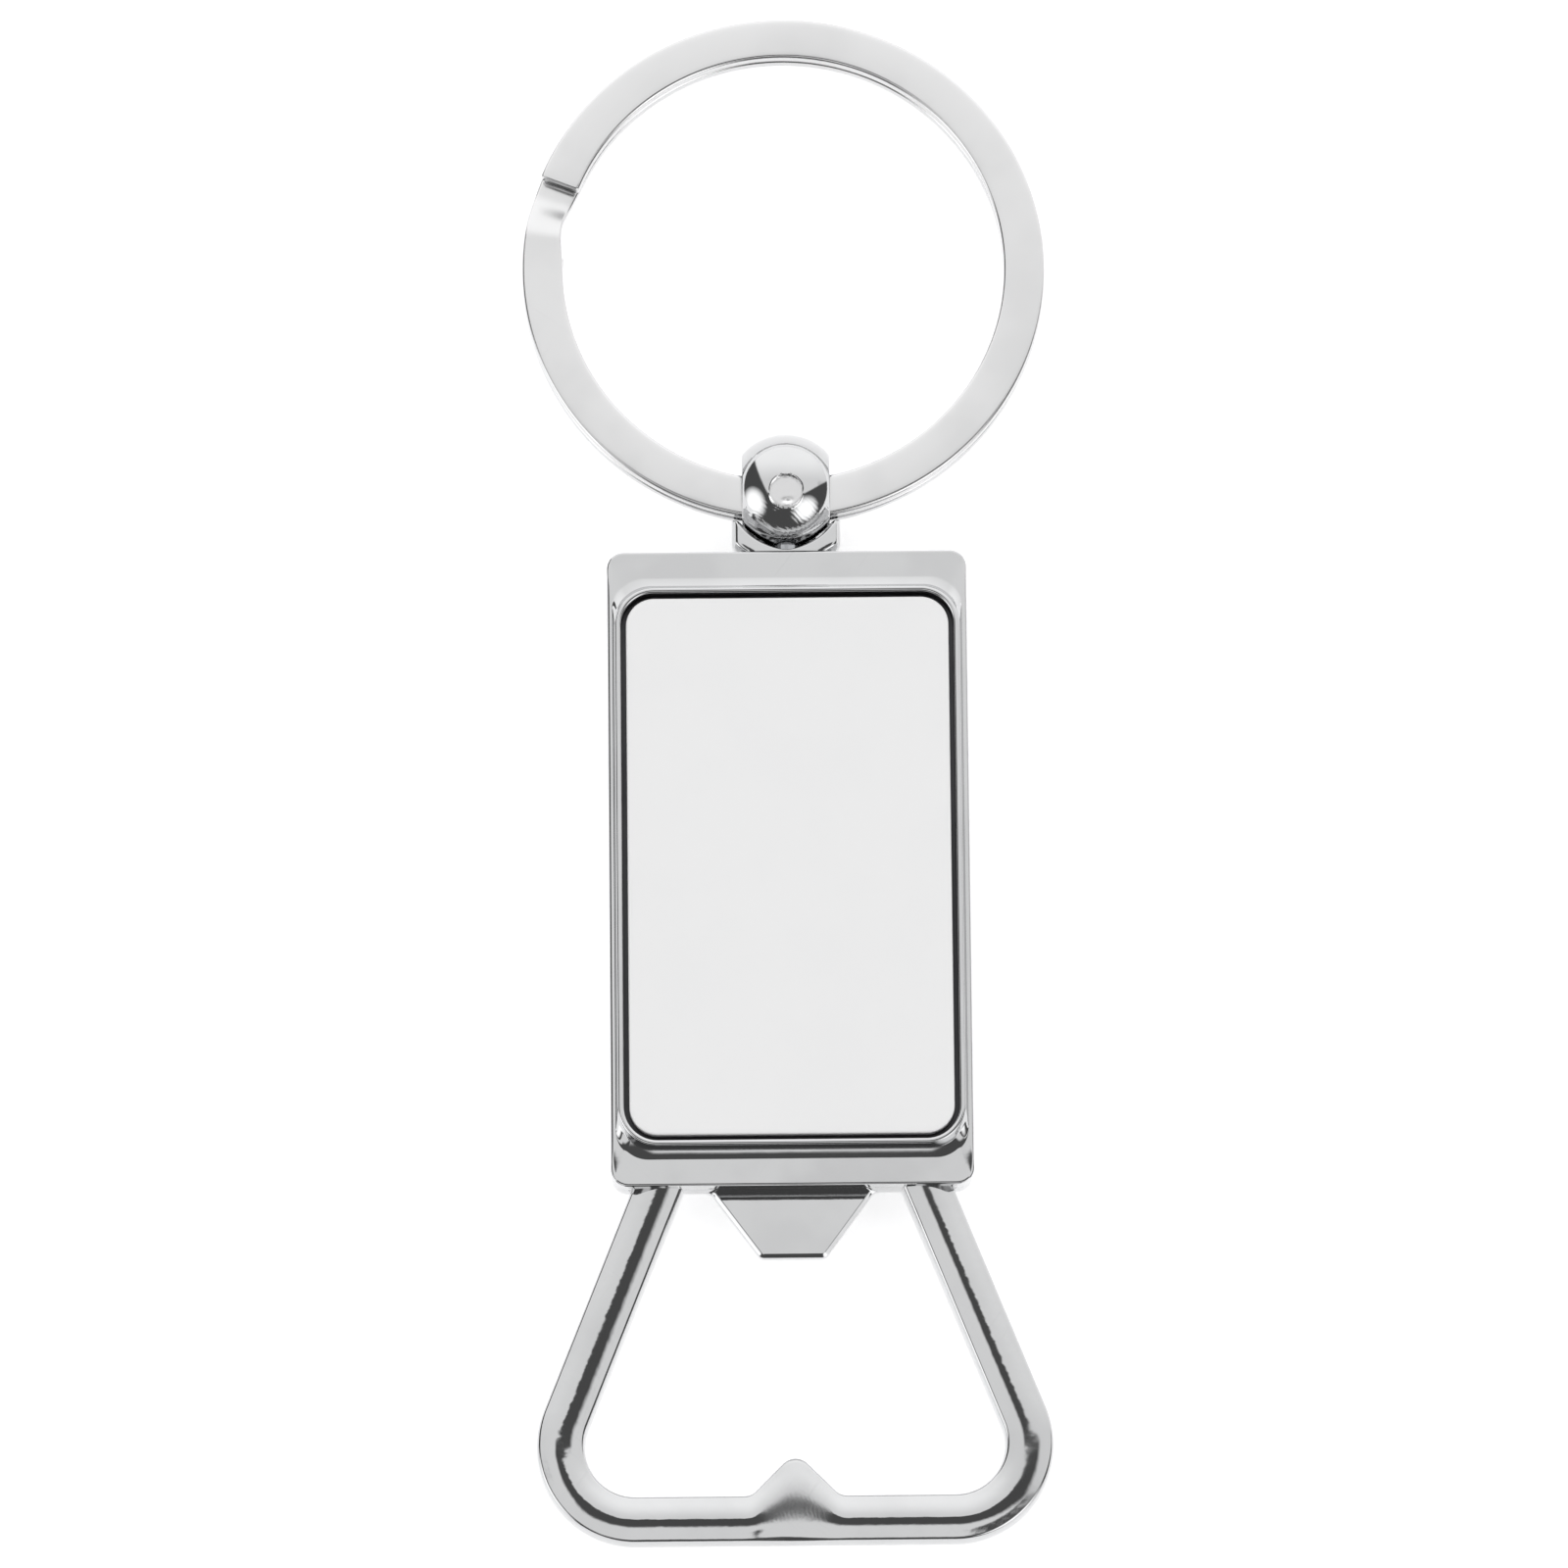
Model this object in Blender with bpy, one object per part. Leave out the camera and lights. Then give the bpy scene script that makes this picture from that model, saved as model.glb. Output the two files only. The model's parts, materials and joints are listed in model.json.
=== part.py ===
"""Keychain bottle opener: two chrome-plated castings, a cover plate, a ball swivel and a split ring.

It lies on its flat back, with the face up (+Z), the key ring towards +Y and the opener loop towards -Y.
The origin is the middle of the back of the body. Sizes are in metres.
"""

import math

import bmesh
import bpy
from mathutils import Matrix, Vector

mm = 0.001

# Body: a back casting and a front bezel, one on the other
body_width = 20.5 * mm
body_length = 36.6 * mm
body_corner_radius = 0.95 * mm
back_thickness = 1.8 * mm
edge_height = 3.05 * mm
rim_height = 3.75 * mm
edge_chamfer = 0.06 * mm
casting_gap = 0.03 * mm

# Bezel: a raised rim around a recess, with pillowed bands outside it
end_band_width = 2.2 * mm
side_band_width = 0.45 * mm
rim_width = 0.33 * mm
rim_drop = 0.08 * mm
recess_floor_height = 2.6 * mm
recess_corner_radius = 1.9 * mm

# Studs under the bezel, in blind holes of the back casting
stud_radius = 0.9 * mm
stud_length = 0.9 * mm
stud_inset = 3.2 * mm
stud_clearance = 0.04 * mm

# Cover plate, glued into the recess
plate_thickness = 0.8 * mm
plate_clearance = 0.3 * mm
pad_thickness = 0.15 * mm
pad_inset = 0.8 * mm
seat_gap = 0.03 * mm

# Opener loop: two flared arms and a cross bar, of one crowned section
loop_width = 2.8 * mm
loop_crown_width = 2.3 * mm
loop_side_height = 1.45 * mm
loop_height = 2.1 * mm
loop_back_chamfer = 0.2 * mm
loop_reach = 20.1 * mm
arm_root_spacing = 15.3 * mm
arm_splay = math.radians(22.0)
loop_bend_radius = 4.2 * mm
root_overlap = 0.6 * mm

# Tooth on the cross bar, which goes under the cap's edge
tooth_height = 2.1 * mm
tooth_half_angle = math.radians(43.0)
tooth_tip_radius = 1.0 * mm
tooth_foot_radius = 0.9 * mm
tooth_thickness = 1.6 * mm

# Tab at the foot of the body, which bears on top of the cap
tab_root_width = 9.3 * mm
tab_tip_width = 3.7 * mm
tab_length = 3.8 * mm
tab_thickness = 0.9 * mm
tab_tip_radius = 0.45 * mm
tab_root_radius = 0.5 * mm

# Ball swivel: a drilled ball on a headed pin, which turns in the top wall of the body
ball_radius = 3.33 * mm
ball_hole_radius = 2.0 * mm
ball_floor_gap = 0.4 * mm
pin_radius = 0.8 * mm
pin_depth_in_ball = 1.0 * mm
pin_head_radius = 1.2 * mm
pin_head_thickness = 0.5 * mm
top_wall = 1.2 * mm
washer_thickness = 0.2 * mm
press_gap = 0.015 * mm
shoulder_lean = 0.003 * mm
running_clearance = 0.05 * mm
head_clearance = 0.12 * mm

# Collar: a dished seat between the ball and the body, flattened to the body's thickness
collar_rim_inset = 0.23 * mm
collar_foot_inset = 0.55 * mm
collar_foot_height = 0.55 * mm
collar_height = 1.85 * mm
collar_thickness = 2.9 * mm
dish_clearance = 0.1 * mm

# Split ring: two flat turns of spring wire
ring_outer_radius = 15.0 * mm
ring_band_width = 2.36 * mm
ring_turn_thickness = 0.8 * mm
ring_turn_gap = 0.12 * mm
ring_edge_radius = 0.16 * mm
ring_droop = math.radians(3.0)
ring_hang = 0.62 * mm
ring_front_end = math.radians(158.0)
ring_jog_start = math.radians(161.0)
ring_jog_end = math.radians(172.0)
ring_back_end = math.radians(175.5)

# Segments
corner_steps = 6
round_steps = 32
bore_steps = 24
stud_steps = 16
bend_steps = 12
crown_steps = 6
band_steps = 4
fillet_steps = 4
jog_steps = 6
ring_step = math.radians(5.0)

half_width = body_width / 2
half_length = body_length / 2
pin_height = back_thickness
ball_centre = Vector((0, half_length + ball_radius + ball_floor_gap, pin_height))
collar_radius = ball_radius - collar_rim_inset
collar_foot_radius = collar_radius - collar_foot_inset
recess_half_width = half_width - side_band_width - rim_width
recess_half_length = half_length - end_band_width - rim_width
ring_mid_radius = ring_outer_radius - ring_band_width / 2

colours = {
    "chrome": ((0.72, 0.73, 0.75), 0.12, 1.0),
    "white_aluminium": ((0.80, 0.80, 0.80), 0.45, 0.3),
    "adhesive": ((0.62, 0.60, 0.54), 0.8, 0.0),
    "ball_chrome": ((0.75, 0.75, 0.77), 0.08, 1.0),
    "ring_steel": ((0.66, 0.67, 0.68), 0.22, 1.0),
    "pin_steel": ((0.50, 0.51, 0.53), 0.35, 1.0),
    "washer_brass": ((0.70, 0.58, 0.34), 0.35, 1.0),
}


def material(name):
    """A Principled material of the named finish."""
    colour, roughness, metallic = colours[name]
    made = bpy.data.materials.get(name) or bpy.data.materials.new(name)
    made.use_nodes = True
    shader = made.node_tree.nodes["Principled BSDF"]
    shader.inputs["Base Color"].default_value = (*colour, 1.0)
    shader.inputs["Roughness"].default_value = roughness
    shader.inputs["Metallic"].default_value = metallic
    return made


def mesh_object(name, points, faces, finish=None):
    """A mesh object with its faces turned outwards; a finish of None leaves it without a material."""
    mesh = bpy.data.meshes.new(name)
    mesh.from_pydata([tuple(point) for point in points], [], faces)
    shape = bmesh.new()
    shape.from_mesh(mesh)
    bmesh.ops.recalc_face_normals(shape, faces=shape.faces)
    shape.to_mesh(mesh)
    shape.free()
    made = bpy.data.objects.new(name, mesh)
    bpy.context.collection.objects.link(made)
    if finish:
        mesh.materials.append(material(finish))
        mesh.shade_smooth()
        mesh.set_sharp_from_angle(angle=math.radians(30))
    return made


def loft(name, sections, finish=None):
    """Sections of equal point count joined in order, with flat ends."""
    count = len(sections[0])
    points = [point for section in sections for point in section]
    faces = []
    for level in range(len(sections) - 1):
        low = level * count
        high = low + count
        for i in range(count):
            j = (i + 1) % count
            faces.append((low + i, low + j, high + j, high + i))
    faces.append(tuple(range(count)))
    faces.append(tuple(range(len(points) - count, len(points))))
    return mesh_object(name, points, faces, finish)


def prism(name, outline, bottom, top, finish=None):
    """An outline in X and Y, extruded from one height to another."""
    return loft(name, [[(x, y, z) for x, y in outline] for z in (bottom, top)], finish)


def box(name, low, high):
    outline = [(low[0], low[1]), (high[0], low[1]), (high[0], high[1]), (low[0], high[1])]
    return prism(name, outline, low[2], high[2])


def turned(name, profile, centre, axis, steps=round_steps, finish=None):
    """A solid turned about an axis through a centre, from (distance along the axis, radius) pairs."""
    to_axis = Vector((0, 0, 1)).rotation_difference(axis).to_matrix()
    sections = []
    for along, radius in profile:
        section = []
        for i in range(steps):
            angle = 2 * math.pi * (i + 0.5) / steps
            point = Vector((radius * math.cos(angle), radius * math.sin(angle), along))
            section.append(centre + to_axis @ point)
        sections.append(section)
    return loft(name, sections, finish)


def combine(target, tool, operation):
    """A live Boolean on the target; the tool becomes a hidden wire guide."""
    step = target.modifiers.new(tool.name, "BOOLEAN")
    step.operation = operation
    step.solver = "EXACT"
    step.object = tool
    tool.hide_render = True
    tool.display_type = "WIRE"


def rounded_rectangle(half_x, half_y, radius, z):
    """A rounded rectangle of four quarter arcs, as points at one height."""
    points = []
    for corner, (sign_x, sign_y) in enumerate(((1, 1), (-1, 1), (-1, -1), (1, -1))):
        for step in range(corner_steps + 1):
            angle = math.radians(90 * corner + 90 * step / corner_steps)
            x = sign_x * (half_x - radius) + radius * math.cos(angle)
            y = sign_y * (half_y - radius) + radius * math.sin(angle)
            points.append((x, y, z))
    return points


def arc(centre, radius, start, end, steps):
    """Points on an arc in X and Y, both ends included."""
    points = []
    for step in range(steps + 1):
        angle = start + (end - start) * step / steps
        points.append((centre[0] + radius * math.cos(angle), centre[1] + radius * math.sin(angle)))
    return points


def mirrored(half):
    """A half outline at +X, followed by its mirror image, so that the whole goes round once."""
    return half + [(-x, y) for x, y in reversed(half)]


def pin_path_cutters(name):
    """The running hole through the top wall and the pocket behind it, as one cutter."""
    start = half_length + top_wall
    pocket_depth = running_clearance + washer_thickness + seat_gap + pin_head_thickness + head_clearance
    hole = pin_radius + running_clearance
    pocket = pin_head_radius + head_clearance
    profile = [
        (0, hole),
        (2 * top_wall - shoulder_lean, hole),
        (2 * top_wall, pocket),
        (2 * top_wall + pocket_depth, pocket),
    ]
    return turned(name, profile, Vector((0, start, pin_height)), Vector((0, -1, 0)), bore_steps)


def stud_places():
    return [
        (sign_x * (half_width - stud_inset), sign_y * (half_length - stud_inset))
        for sign_x in (1, -1)
        for sign_y in (1, -1)
    ]


def cut_stud_holes(target):
    radius = stud_radius + stud_clearance
    for number, (x, y) in enumerate(stud_places()):
        top = Vector((x, y, back_thickness + casting_gap))
        depth = stud_length + 2 * casting_gap
        profile = [(0, radius), (depth, radius)]
        hole = turned(f"cut_stud_{number}", profile, top, Vector((0, 0, -1)), stud_steps)
        combine(target, hole, "DIFFERENCE")


def loop_section(centre, across):
    """The loop's section at a point: flat back, sides that draw in to the front, crowned front."""
    wide = loop_width / 2
    front = loop_crown_width / 2
    rise = loop_height - loop_side_height
    profile = [
        (loop_back_chamfer - wide, 0),
        (-wide, loop_back_chamfer),
        (-wide, loop_side_height / 2),
        (-front, loop_side_height),
    ]
    for step in range(1, crown_steps):
        angle = math.pi * step / crown_steps
        profile.append((-front * math.cos(angle), loop_side_height + rise * math.sin(angle)))
    profile += [(-offset, height) for offset, height in reversed(profile[:4])]
    return [(centre[0] + across[0] * s, centre[1] + across[1] * s, z) for s, z in profile]


def loop_stations():
    """Points and across directions on the loop's centre line, from the right root to the left one."""
    lean_x = math.sin(arm_splay)
    lean_y = -math.cos(arm_splay)
    root = Vector((arm_root_spacing / 2, -half_length))
    bar_y = -half_length - loop_reach + loop_width / 2
    corner_x = root.x + (root.y - bar_y) * math.tan(arm_splay)
    inside = math.pi / 2 - arm_splay
    bend_centre = (corner_x - loop_bend_radius / math.tan(inside / 2), bar_y + loop_bend_radius)
    start = root - root_overlap * Vector((lean_x, lean_y))
    right = [((start.x, start.y), (-lean_y, lean_x))]
    for step in range(bend_steps + 1):
        angle = arm_splay - (math.pi / 2 + arm_splay) * step / bend_steps
        across = (math.cos(angle), math.sin(angle))
        x = bend_centre[0] + loop_bend_radius * across[0]
        y = bend_centre[1] + loop_bend_radius * across[1]
        right.append(((x, y), across))
    left = [((-x, y), (-u, v)) for (x, y), (u, v) in reversed(right)]
    return right + left


def tooth_outline():
    """The tooth: straight flanks, a rounded tip, and hollow feet where it meets the bar."""
    bar_top = -half_length - loop_reach + loop_width
    tip_y = bar_top + tooth_height
    slope = tooth_half_angle
    tip_centre = tip_y - tooth_tip_radius
    foot_centre_y = bar_top + tooth_foot_radius
    flank_x = tooth_tip_radius * math.cos(slope)
    flank_y = tip_centre + tooth_tip_radius * math.sin(slope)
    foot_y = foot_centre_y - tooth_foot_radius * math.sin(slope)
    foot_x = flank_x + (flank_y - foot_y) * math.tan(slope)
    foot_centre = (foot_x + tooth_foot_radius * math.cos(slope), foot_centre_y)
    foot = arc(foot_centre, tooth_foot_radius, -math.pi / 2, -math.pi + slope, fillet_steps)
    tip = arc((0, tip_centre), tooth_tip_radius, slope, math.pi / 2, fillet_steps)[:-1]
    low = bar_top - loop_width / 2
    half = [(foot[0][0], low)] + foot + tip
    return half + [(0, tip_y)] + [(-x, y) for x, y in reversed(half)]


def tab_outline():
    """The tab: a tapered tongue with rounded tip corners and hollow corners at its root."""
    root_y = -half_length
    tip_y = root_y - tab_length
    taper = math.atan2((tab_root_width - tab_tip_width) / 2, tab_length)
    tip_swing = math.pi / 2 - taper
    tip_x = tab_tip_width / 2 - tab_tip_radius * math.tan(tip_swing / 2)
    tip_centre = (tip_x, tip_y + tab_tip_radius)
    tip = arc(tip_centre, tab_tip_radius, -math.pi / 2, -taper, fillet_steps)
    root_x = tab_root_width / 2 + tab_root_radius * math.tan(math.pi / 4 - taper / 2)
    root_centre = (root_x, root_y - tab_root_radius)
    root = arc(root_centre, tab_root_radius, math.pi - taper, math.pi / 2, fillet_steps)
    half = tip + root + [(root[-1][0], root_y + root_overlap)]
    return mirrored(half)


def make_back_casting():
    outline = (half_width, half_length, body_corner_radius)
    inset = (half_width - edge_chamfer, half_length - edge_chamfer, body_corner_radius)
    sections = [
        rounded_rectangle(*inset, 0),
        rounded_rectangle(*outline, edge_chamfer),
        rounded_rectangle(*outline, back_thickness),
    ]
    casting = loft("back_casting", sections, "chrome")
    loop = loft("join_loop", [loop_section(point, across) for point, across in loop_stations()])
    tooth = prism("join_tooth", tooth_outline(), loop_back_chamfer, tooth_thickness)
    tab = prism("join_tab", tab_outline(), 0, tab_thickness)
    for tool in (loop, tooth, tab):
        combine(casting, tool, "UNION")
    low = (-body_width, -half_length - casting_gap, back_thickness)
    high = (body_width, half_length + casting_gap, 2 * rim_height)
    combine(casting, box("cut_bezel_space", low, high), "DIFFERENCE")
    combine(casting, pin_path_cutters("cut_pin_path_back"), "DIFFERENCE")
    cut_stud_holes(casting)
    return casting


def make_front_bezel():
    low = back_thickness + casting_gap
    rise = rim_height - edge_height
    rim_radius = recess_corner_radius + rim_width
    sections = [
        rounded_rectangle(half_width, half_length, body_corner_radius, low),
        rounded_rectangle(half_width, half_length, body_corner_radius, edge_height - edge_chamfer),
    ]
    for step in range(band_steps + 1):
        share = step / band_steps
        in_x = edge_chamfer + (side_band_width - edge_chamfer) * share
        in_y = edge_chamfer + (end_band_width - edge_chamfer) * share
        radius = body_corner_radius + (rim_radius - body_corner_radius) * share
        height = edge_height + rise * math.sin(math.pi / 2 * share)
        sections.append(rounded_rectangle(half_width - in_x, half_length - in_y, radius, height))
    inner = (recess_half_width, recess_half_length, recess_corner_radius)
    sections.append(rounded_rectangle(*inner, rim_height - rim_drop))
    sections.append(rounded_rectangle(*inner, recess_floor_height))
    bezel = loft("front_bezel", sections, "chrome")
    for number, (x, y) in enumerate(stud_places()):
        start = Vector((x, y, low + casting_gap))
        profile = [(0, stud_radius), (stud_length + casting_gap, stud_radius)]
        stud = turned(f"join_stud_{number}", profile, start, Vector((0, 0, -1)), stud_steps)
        combine(bezel, stud, "UNION")
    combine(bezel, pin_path_cutters("cut_pin_path_front"), "DIFFERENCE")
    return bezel


def make_insert():
    pad_bottom = recess_floor_height + seat_gap
    plate_bottom = pad_bottom + pad_thickness + seat_gap
    plate_x = recess_half_width - plate_clearance
    plate_y = recess_half_length - plate_clearance
    radius = recess_corner_radius - plate_clearance
    pad_outline = (plate_x - pad_inset, plate_y - pad_inset, radius - pad_inset)
    pad_heights = (pad_bottom, pad_bottom + pad_thickness)
    loft("adhesive_pad", [rounded_rectangle(*pad_outline, z) for z in pad_heights], "adhesive")
    plate_heights = (plate_bottom, plate_bottom + plate_thickness)
    plate = [rounded_rectangle(plate_x, plate_y, radius, z) for z in plate_heights]
    loft("insert_plate", plate, "white_aluminium")


def place_on(child, parent):
    """Parents an object without moving it, and puts its origin at the parent's."""
    child.data.transform(Matrix.Translation(-parent.location))
    child.parent = parent


def ball_profile(radius):
    """A half circle from pole to pole, as (distance along the axis, radius) pairs, without the poles."""
    rings = round_steps // 2
    profile = []
    for step in range(1, rings):
        angle = math.pi * step / rings
        profile.append((-radius * math.cos(angle), radius * math.sin(angle)))
    return profile


def make_swivel():
    """The ball and its pin with the washer under the pin's head; the ball turns about Y."""
    swivel = bpy.data.objects.new("swivel_axis", None)
    swivel.location = ball_centre
    bpy.context.collection.objects.link(swivel)
    down = Vector((0, -1, 0))
    ball = turned("swivel_ball", ball_profile(ball_radius), ball_centre, -down, finish="ball_chrome")
    hole_start = ball_centre - Vector((2 * ball_radius, 0, 0))
    bore = [(0, ball_hole_radius), (4 * ball_radius, ball_hole_radius)]
    bore_tool = turned("cut_ring_hole", bore, hole_start, Vector((1, 0, 0)))
    pin_top = ball_centre.y - ball_radius + pin_depth_in_ball
    socket = [(0, pin_radius + press_gap), (2 * ball_radius, pin_radius + press_gap)]
    socket_start = Vector((0, pin_top + press_gap, pin_height))
    socket_tool = turned("cut_pin_socket", socket, socket_start, down, bore_steps)
    combine(ball, bore_tool, "DIFFERENCE")
    combine(ball, socket_tool, "DIFFERENCE")
    head_top = half_length - top_wall - running_clearance - washer_thickness - seat_gap
    shank = pin_top - head_top
    pin_profile = [
        (0, pin_radius),
        (shank, pin_radius),
        (shank + shoulder_lean, pin_head_radius),
        (shank + pin_head_thickness, pin_head_radius),
    ]
    pin_start = Vector((0, pin_top, pin_height))
    pin = turned("swivel_pin", pin_profile, pin_start, down, bore_steps, "pin_steel")
    washer_top = half_length - top_wall - running_clearance
    washer_start = Vector((0, washer_top, pin_height))
    disc = [(0, pin_head_radius), (washer_thickness, pin_head_radius)]
    washer = turned("pin_washer", disc, washer_start, down, bore_steps, "washer_brass")
    eye_radius = pin_radius + running_clearance
    eye_start = Vector((0, half_length, pin_height))
    eye_profile = [(0, eye_radius), (4 * top_wall, eye_radius)]
    eye = turned("cut_washer_eye", eye_profile, eye_start, down, bore_steps)
    combine(washer, eye, "DIFFERENCE")
    for piece in (ball, bore_tool, socket_tool, pin):
        place_on(piece, swivel)
    return swivel


def make_collar():
    base = Vector((0, half_length + casting_gap, pin_height))
    up = Vector((0, 1, 0))
    profile = [(0, collar_foot_radius), (collar_foot_height, collar_radius), (collar_height, collar_radius)]
    collar = turned("swivel_collar", profile, base, up, finish="chrome")
    low = (-2 * collar_radius, half_length - collar_height, pin_height - collar_thickness / 2)
    high = (2 * collar_radius, half_length + 3 * collar_height, pin_height + collar_thickness / 2)
    combine(collar, box("keep_collar_flats", low, high), "INTERSECT")
    dish = turned("cut_collar_dish", ball_profile(ball_radius + dish_clearance), ball_centre, up)
    combine(collar, dish, "DIFFERENCE")
    hole = pin_radius + running_clearance
    hole_start = base - collar_height * up
    hole_profile = [(0, hole), (2 * collar_height, hole)]
    hole_tool = turned("cut_collar_hole", hole_profile, hole_start, up, bore_steps)
    combine(collar, hole_tool, "DIFFERENCE")


def ring_section(angle, height):
    """The wire's section at one angle round the ring: a flat band with eased edges."""
    half_band = ring_band_width / 2
    half_turn = ring_turn_thickness / 2
    ease = ring_edge_radius
    corners = [
        (-half_band + ease, -half_turn),
        (half_band - ease, -half_turn),
        (half_band, ease - half_turn),
        (half_band, half_turn - ease),
        (half_band - ease, half_turn),
        (-half_band + ease, half_turn),
        (-half_band, half_turn - ease),
        (-half_band, ease - half_turn),
    ]
    section = []
    for out, up in corners:
        radius = ring_mid_radius + out
        section.append(Vector((radius * math.cos(angle), radius * math.sin(angle), height + up)))
    return section


def make_split_ring():
    """Two turns of wire: the back one steps up into the front one between their free ends."""
    layer = (ring_turn_thickness + ring_turn_gap) / 2
    start = ring_back_end - 2 * math.pi
    end = ring_front_end + 2 * math.pi
    count = math.ceil((end - start) / ring_step)
    angles = [start + (end - start) * step / count for step in range(count + 1)]
    jog_span = ring_jog_end - ring_jog_start
    jog = [ring_jog_start + jog_span * step / jog_steps for step in range(jog_steps + 1)]
    spare = ring_step / 3
    outside = [a for a in angles if a < ring_jog_start - spare or a > ring_jog_end + spare]
    sections = []
    for angle in sorted(outside + jog):
        share = (angle - ring_jog_start) / jog_span
        share = min(max(share, 0.0), 1.0)
        height = layer * -math.cos(math.pi * share)
        sections.append(ring_section(angle, height))
    ring = loft("split_ring", sections, "ring_steel")
    centre = Vector((0, ring_mid_radius - ring_hang, 0))
    ring.data.transform(Matrix.Translation(centre))
    ring.rotation_euler = (-ring_droop, 0, 0)
    return ring


bpy.context.scene.unit_settings.system = "METRIC"
for old in list(bpy.data.objects):
    bpy.data.objects.remove(old, do_unlink=True)

make_back_casting()
make_front_bezel()
make_insert()
make_collar()
axis = make_swivel()
split_ring = make_split_ring()
split_ring.parent = axis
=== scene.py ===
# Keychain bottle opener: chrome castings, a blank white cover plate, a ball swivel and a split ring.
# Everything is in metres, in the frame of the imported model: +Z is the face, +Y goes to the key ring.
import json
import math

import bmesh
import bpy
import numpy as np
from mathutils import Matrix, Vector


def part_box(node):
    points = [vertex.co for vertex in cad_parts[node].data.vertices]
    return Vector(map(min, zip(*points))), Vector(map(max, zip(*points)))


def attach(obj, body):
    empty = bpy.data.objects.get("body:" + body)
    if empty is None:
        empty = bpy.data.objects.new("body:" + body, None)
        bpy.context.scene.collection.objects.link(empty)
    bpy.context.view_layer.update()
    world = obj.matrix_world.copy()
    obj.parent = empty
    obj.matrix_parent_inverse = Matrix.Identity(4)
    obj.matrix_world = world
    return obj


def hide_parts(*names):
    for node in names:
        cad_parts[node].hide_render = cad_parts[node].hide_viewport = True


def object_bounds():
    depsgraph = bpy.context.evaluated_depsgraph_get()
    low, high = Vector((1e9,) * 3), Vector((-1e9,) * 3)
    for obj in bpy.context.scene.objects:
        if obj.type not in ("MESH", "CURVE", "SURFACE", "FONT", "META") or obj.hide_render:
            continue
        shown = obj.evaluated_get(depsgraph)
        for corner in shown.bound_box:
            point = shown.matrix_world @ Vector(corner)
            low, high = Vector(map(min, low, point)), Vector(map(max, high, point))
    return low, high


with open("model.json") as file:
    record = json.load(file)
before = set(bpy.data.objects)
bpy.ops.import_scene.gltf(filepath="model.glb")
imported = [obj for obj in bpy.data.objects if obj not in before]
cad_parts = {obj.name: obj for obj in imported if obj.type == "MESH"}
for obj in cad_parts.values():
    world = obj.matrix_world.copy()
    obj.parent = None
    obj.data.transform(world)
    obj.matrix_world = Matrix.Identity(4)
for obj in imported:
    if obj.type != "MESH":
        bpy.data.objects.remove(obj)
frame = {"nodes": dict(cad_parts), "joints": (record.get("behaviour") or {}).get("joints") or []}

cadLow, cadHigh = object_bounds()
mm = 0.001
nodes = frame["nodes"]
swivelAt = np.array(frame["joints"][0]["pos_m"])
print("frame loaded, box in mm", [round((h - l) / mm, 1) for l, h in zip(cadLow, cadHigh)])


cameraSpec = {
    "aim": (-0.245 * mm, 5.38 * mm, 0.0),
    "distance": 629.0 * mm,
    "elevation": 78.36,
    "azimuth": -2.14,
    "roll": 1.60,
    "lens": 253.3,
    "sensor": 36.0,
    "clip": (0.02, 10.0),
}

roomSpec = {
    "tent": (1.0, 1.0, 1.0),
    "overhead": 1.05,        # straight up and towards the ring
    "lowBack": 1.45,         # low on the ring's side
    "backLimits": (0.15, 0.85),
    "dark": 0.10,            # level of the opening, the wings and the front
    "openingX": (-0.36, -0.24, 0.42, 0.58),    # soft limits of the opening about the camera
    "openingY": (-0.36, -0.25, 0.085, 0.125),
    "openingUp": (0.5, 0.6),
    "horizon": 0.80,         # how dark the band round the horizon is
    "horizonUp": (-0.02, 0.04, 0.34, 0.44),
    "horizonBack": (-0.05, 0.30),              # it fades out towards the ring's side
    "leftWing": ((-0.846, -0.386, -0.368), 0.26, 0.32),    # direction and cosines of its soft limits
    "rightWing": ((0.464, -0.829, -0.309), 0.20, 0.26),
    "front": ((0.0, -0.94, -0.34), 0.55, 0.72),
    "lamps": ((-0.89, -0.35, 0.28), (0.605, -0.65, 0.46)),
    "lampAngles": (6, 30),   # full within the first, gone beyond the second
    "lampLevel": 1.9,
    "groundEdge": 0.02,      # below the horizon the tent is plain
    "floorColour": (0.93, 0.93, 0.935),
    "floorRoughness": 0.9,
    "floorShine": 0.1,
    "floorGlow": 0.54,
    "floorSize": 1.2,
    "floorGap": 0.02 * mm,
}


def unit(v):
    v = np.array(v, float)
    return v / np.linalg.norm(v)


def makeCamera(spec):
    # the camera looks back along a direction given by azimuth and elevation, then rolls about it
    elevation, azimuth, roll = np.radians([spec["elevation"], spec["azimuth"], spec["roll"]])
    back = np.array([
        math.sin(azimuth) * math.cos(elevation),
        -math.cos(azimuth) * math.cos(elevation),
        math.sin(elevation),
    ])
    right = np.array([math.cos(azimuth), math.sin(azimuth), 0.0])
    up = np.cross(back, right)
    rolledRight = right * math.cos(roll) + up * math.sin(roll)
    rolledUp = up * math.cos(roll) - right * math.sin(roll)
    place = np.array(spec["aim"]) + back * spec["distance"]
    data = bpy.data.cameras.new("camera")
    data.lens = spec["lens"]
    data.sensor_width = spec["sensor"]
    data.clip_start, data.clip_end = spec["clip"]
    camera = bpy.data.objects.new("camera", data)
    bpy.context.scene.collection.objects.link(camera)
    matrix = np.eye(4)
    matrix[:3, 0], matrix[:3, 1], matrix[:3, 2], matrix[:3, 3] = rolledRight, rolledUp, back, place
    camera.matrix_world = Matrix(matrix.tolist())
    bpy.context.scene.camera = camera


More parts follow.
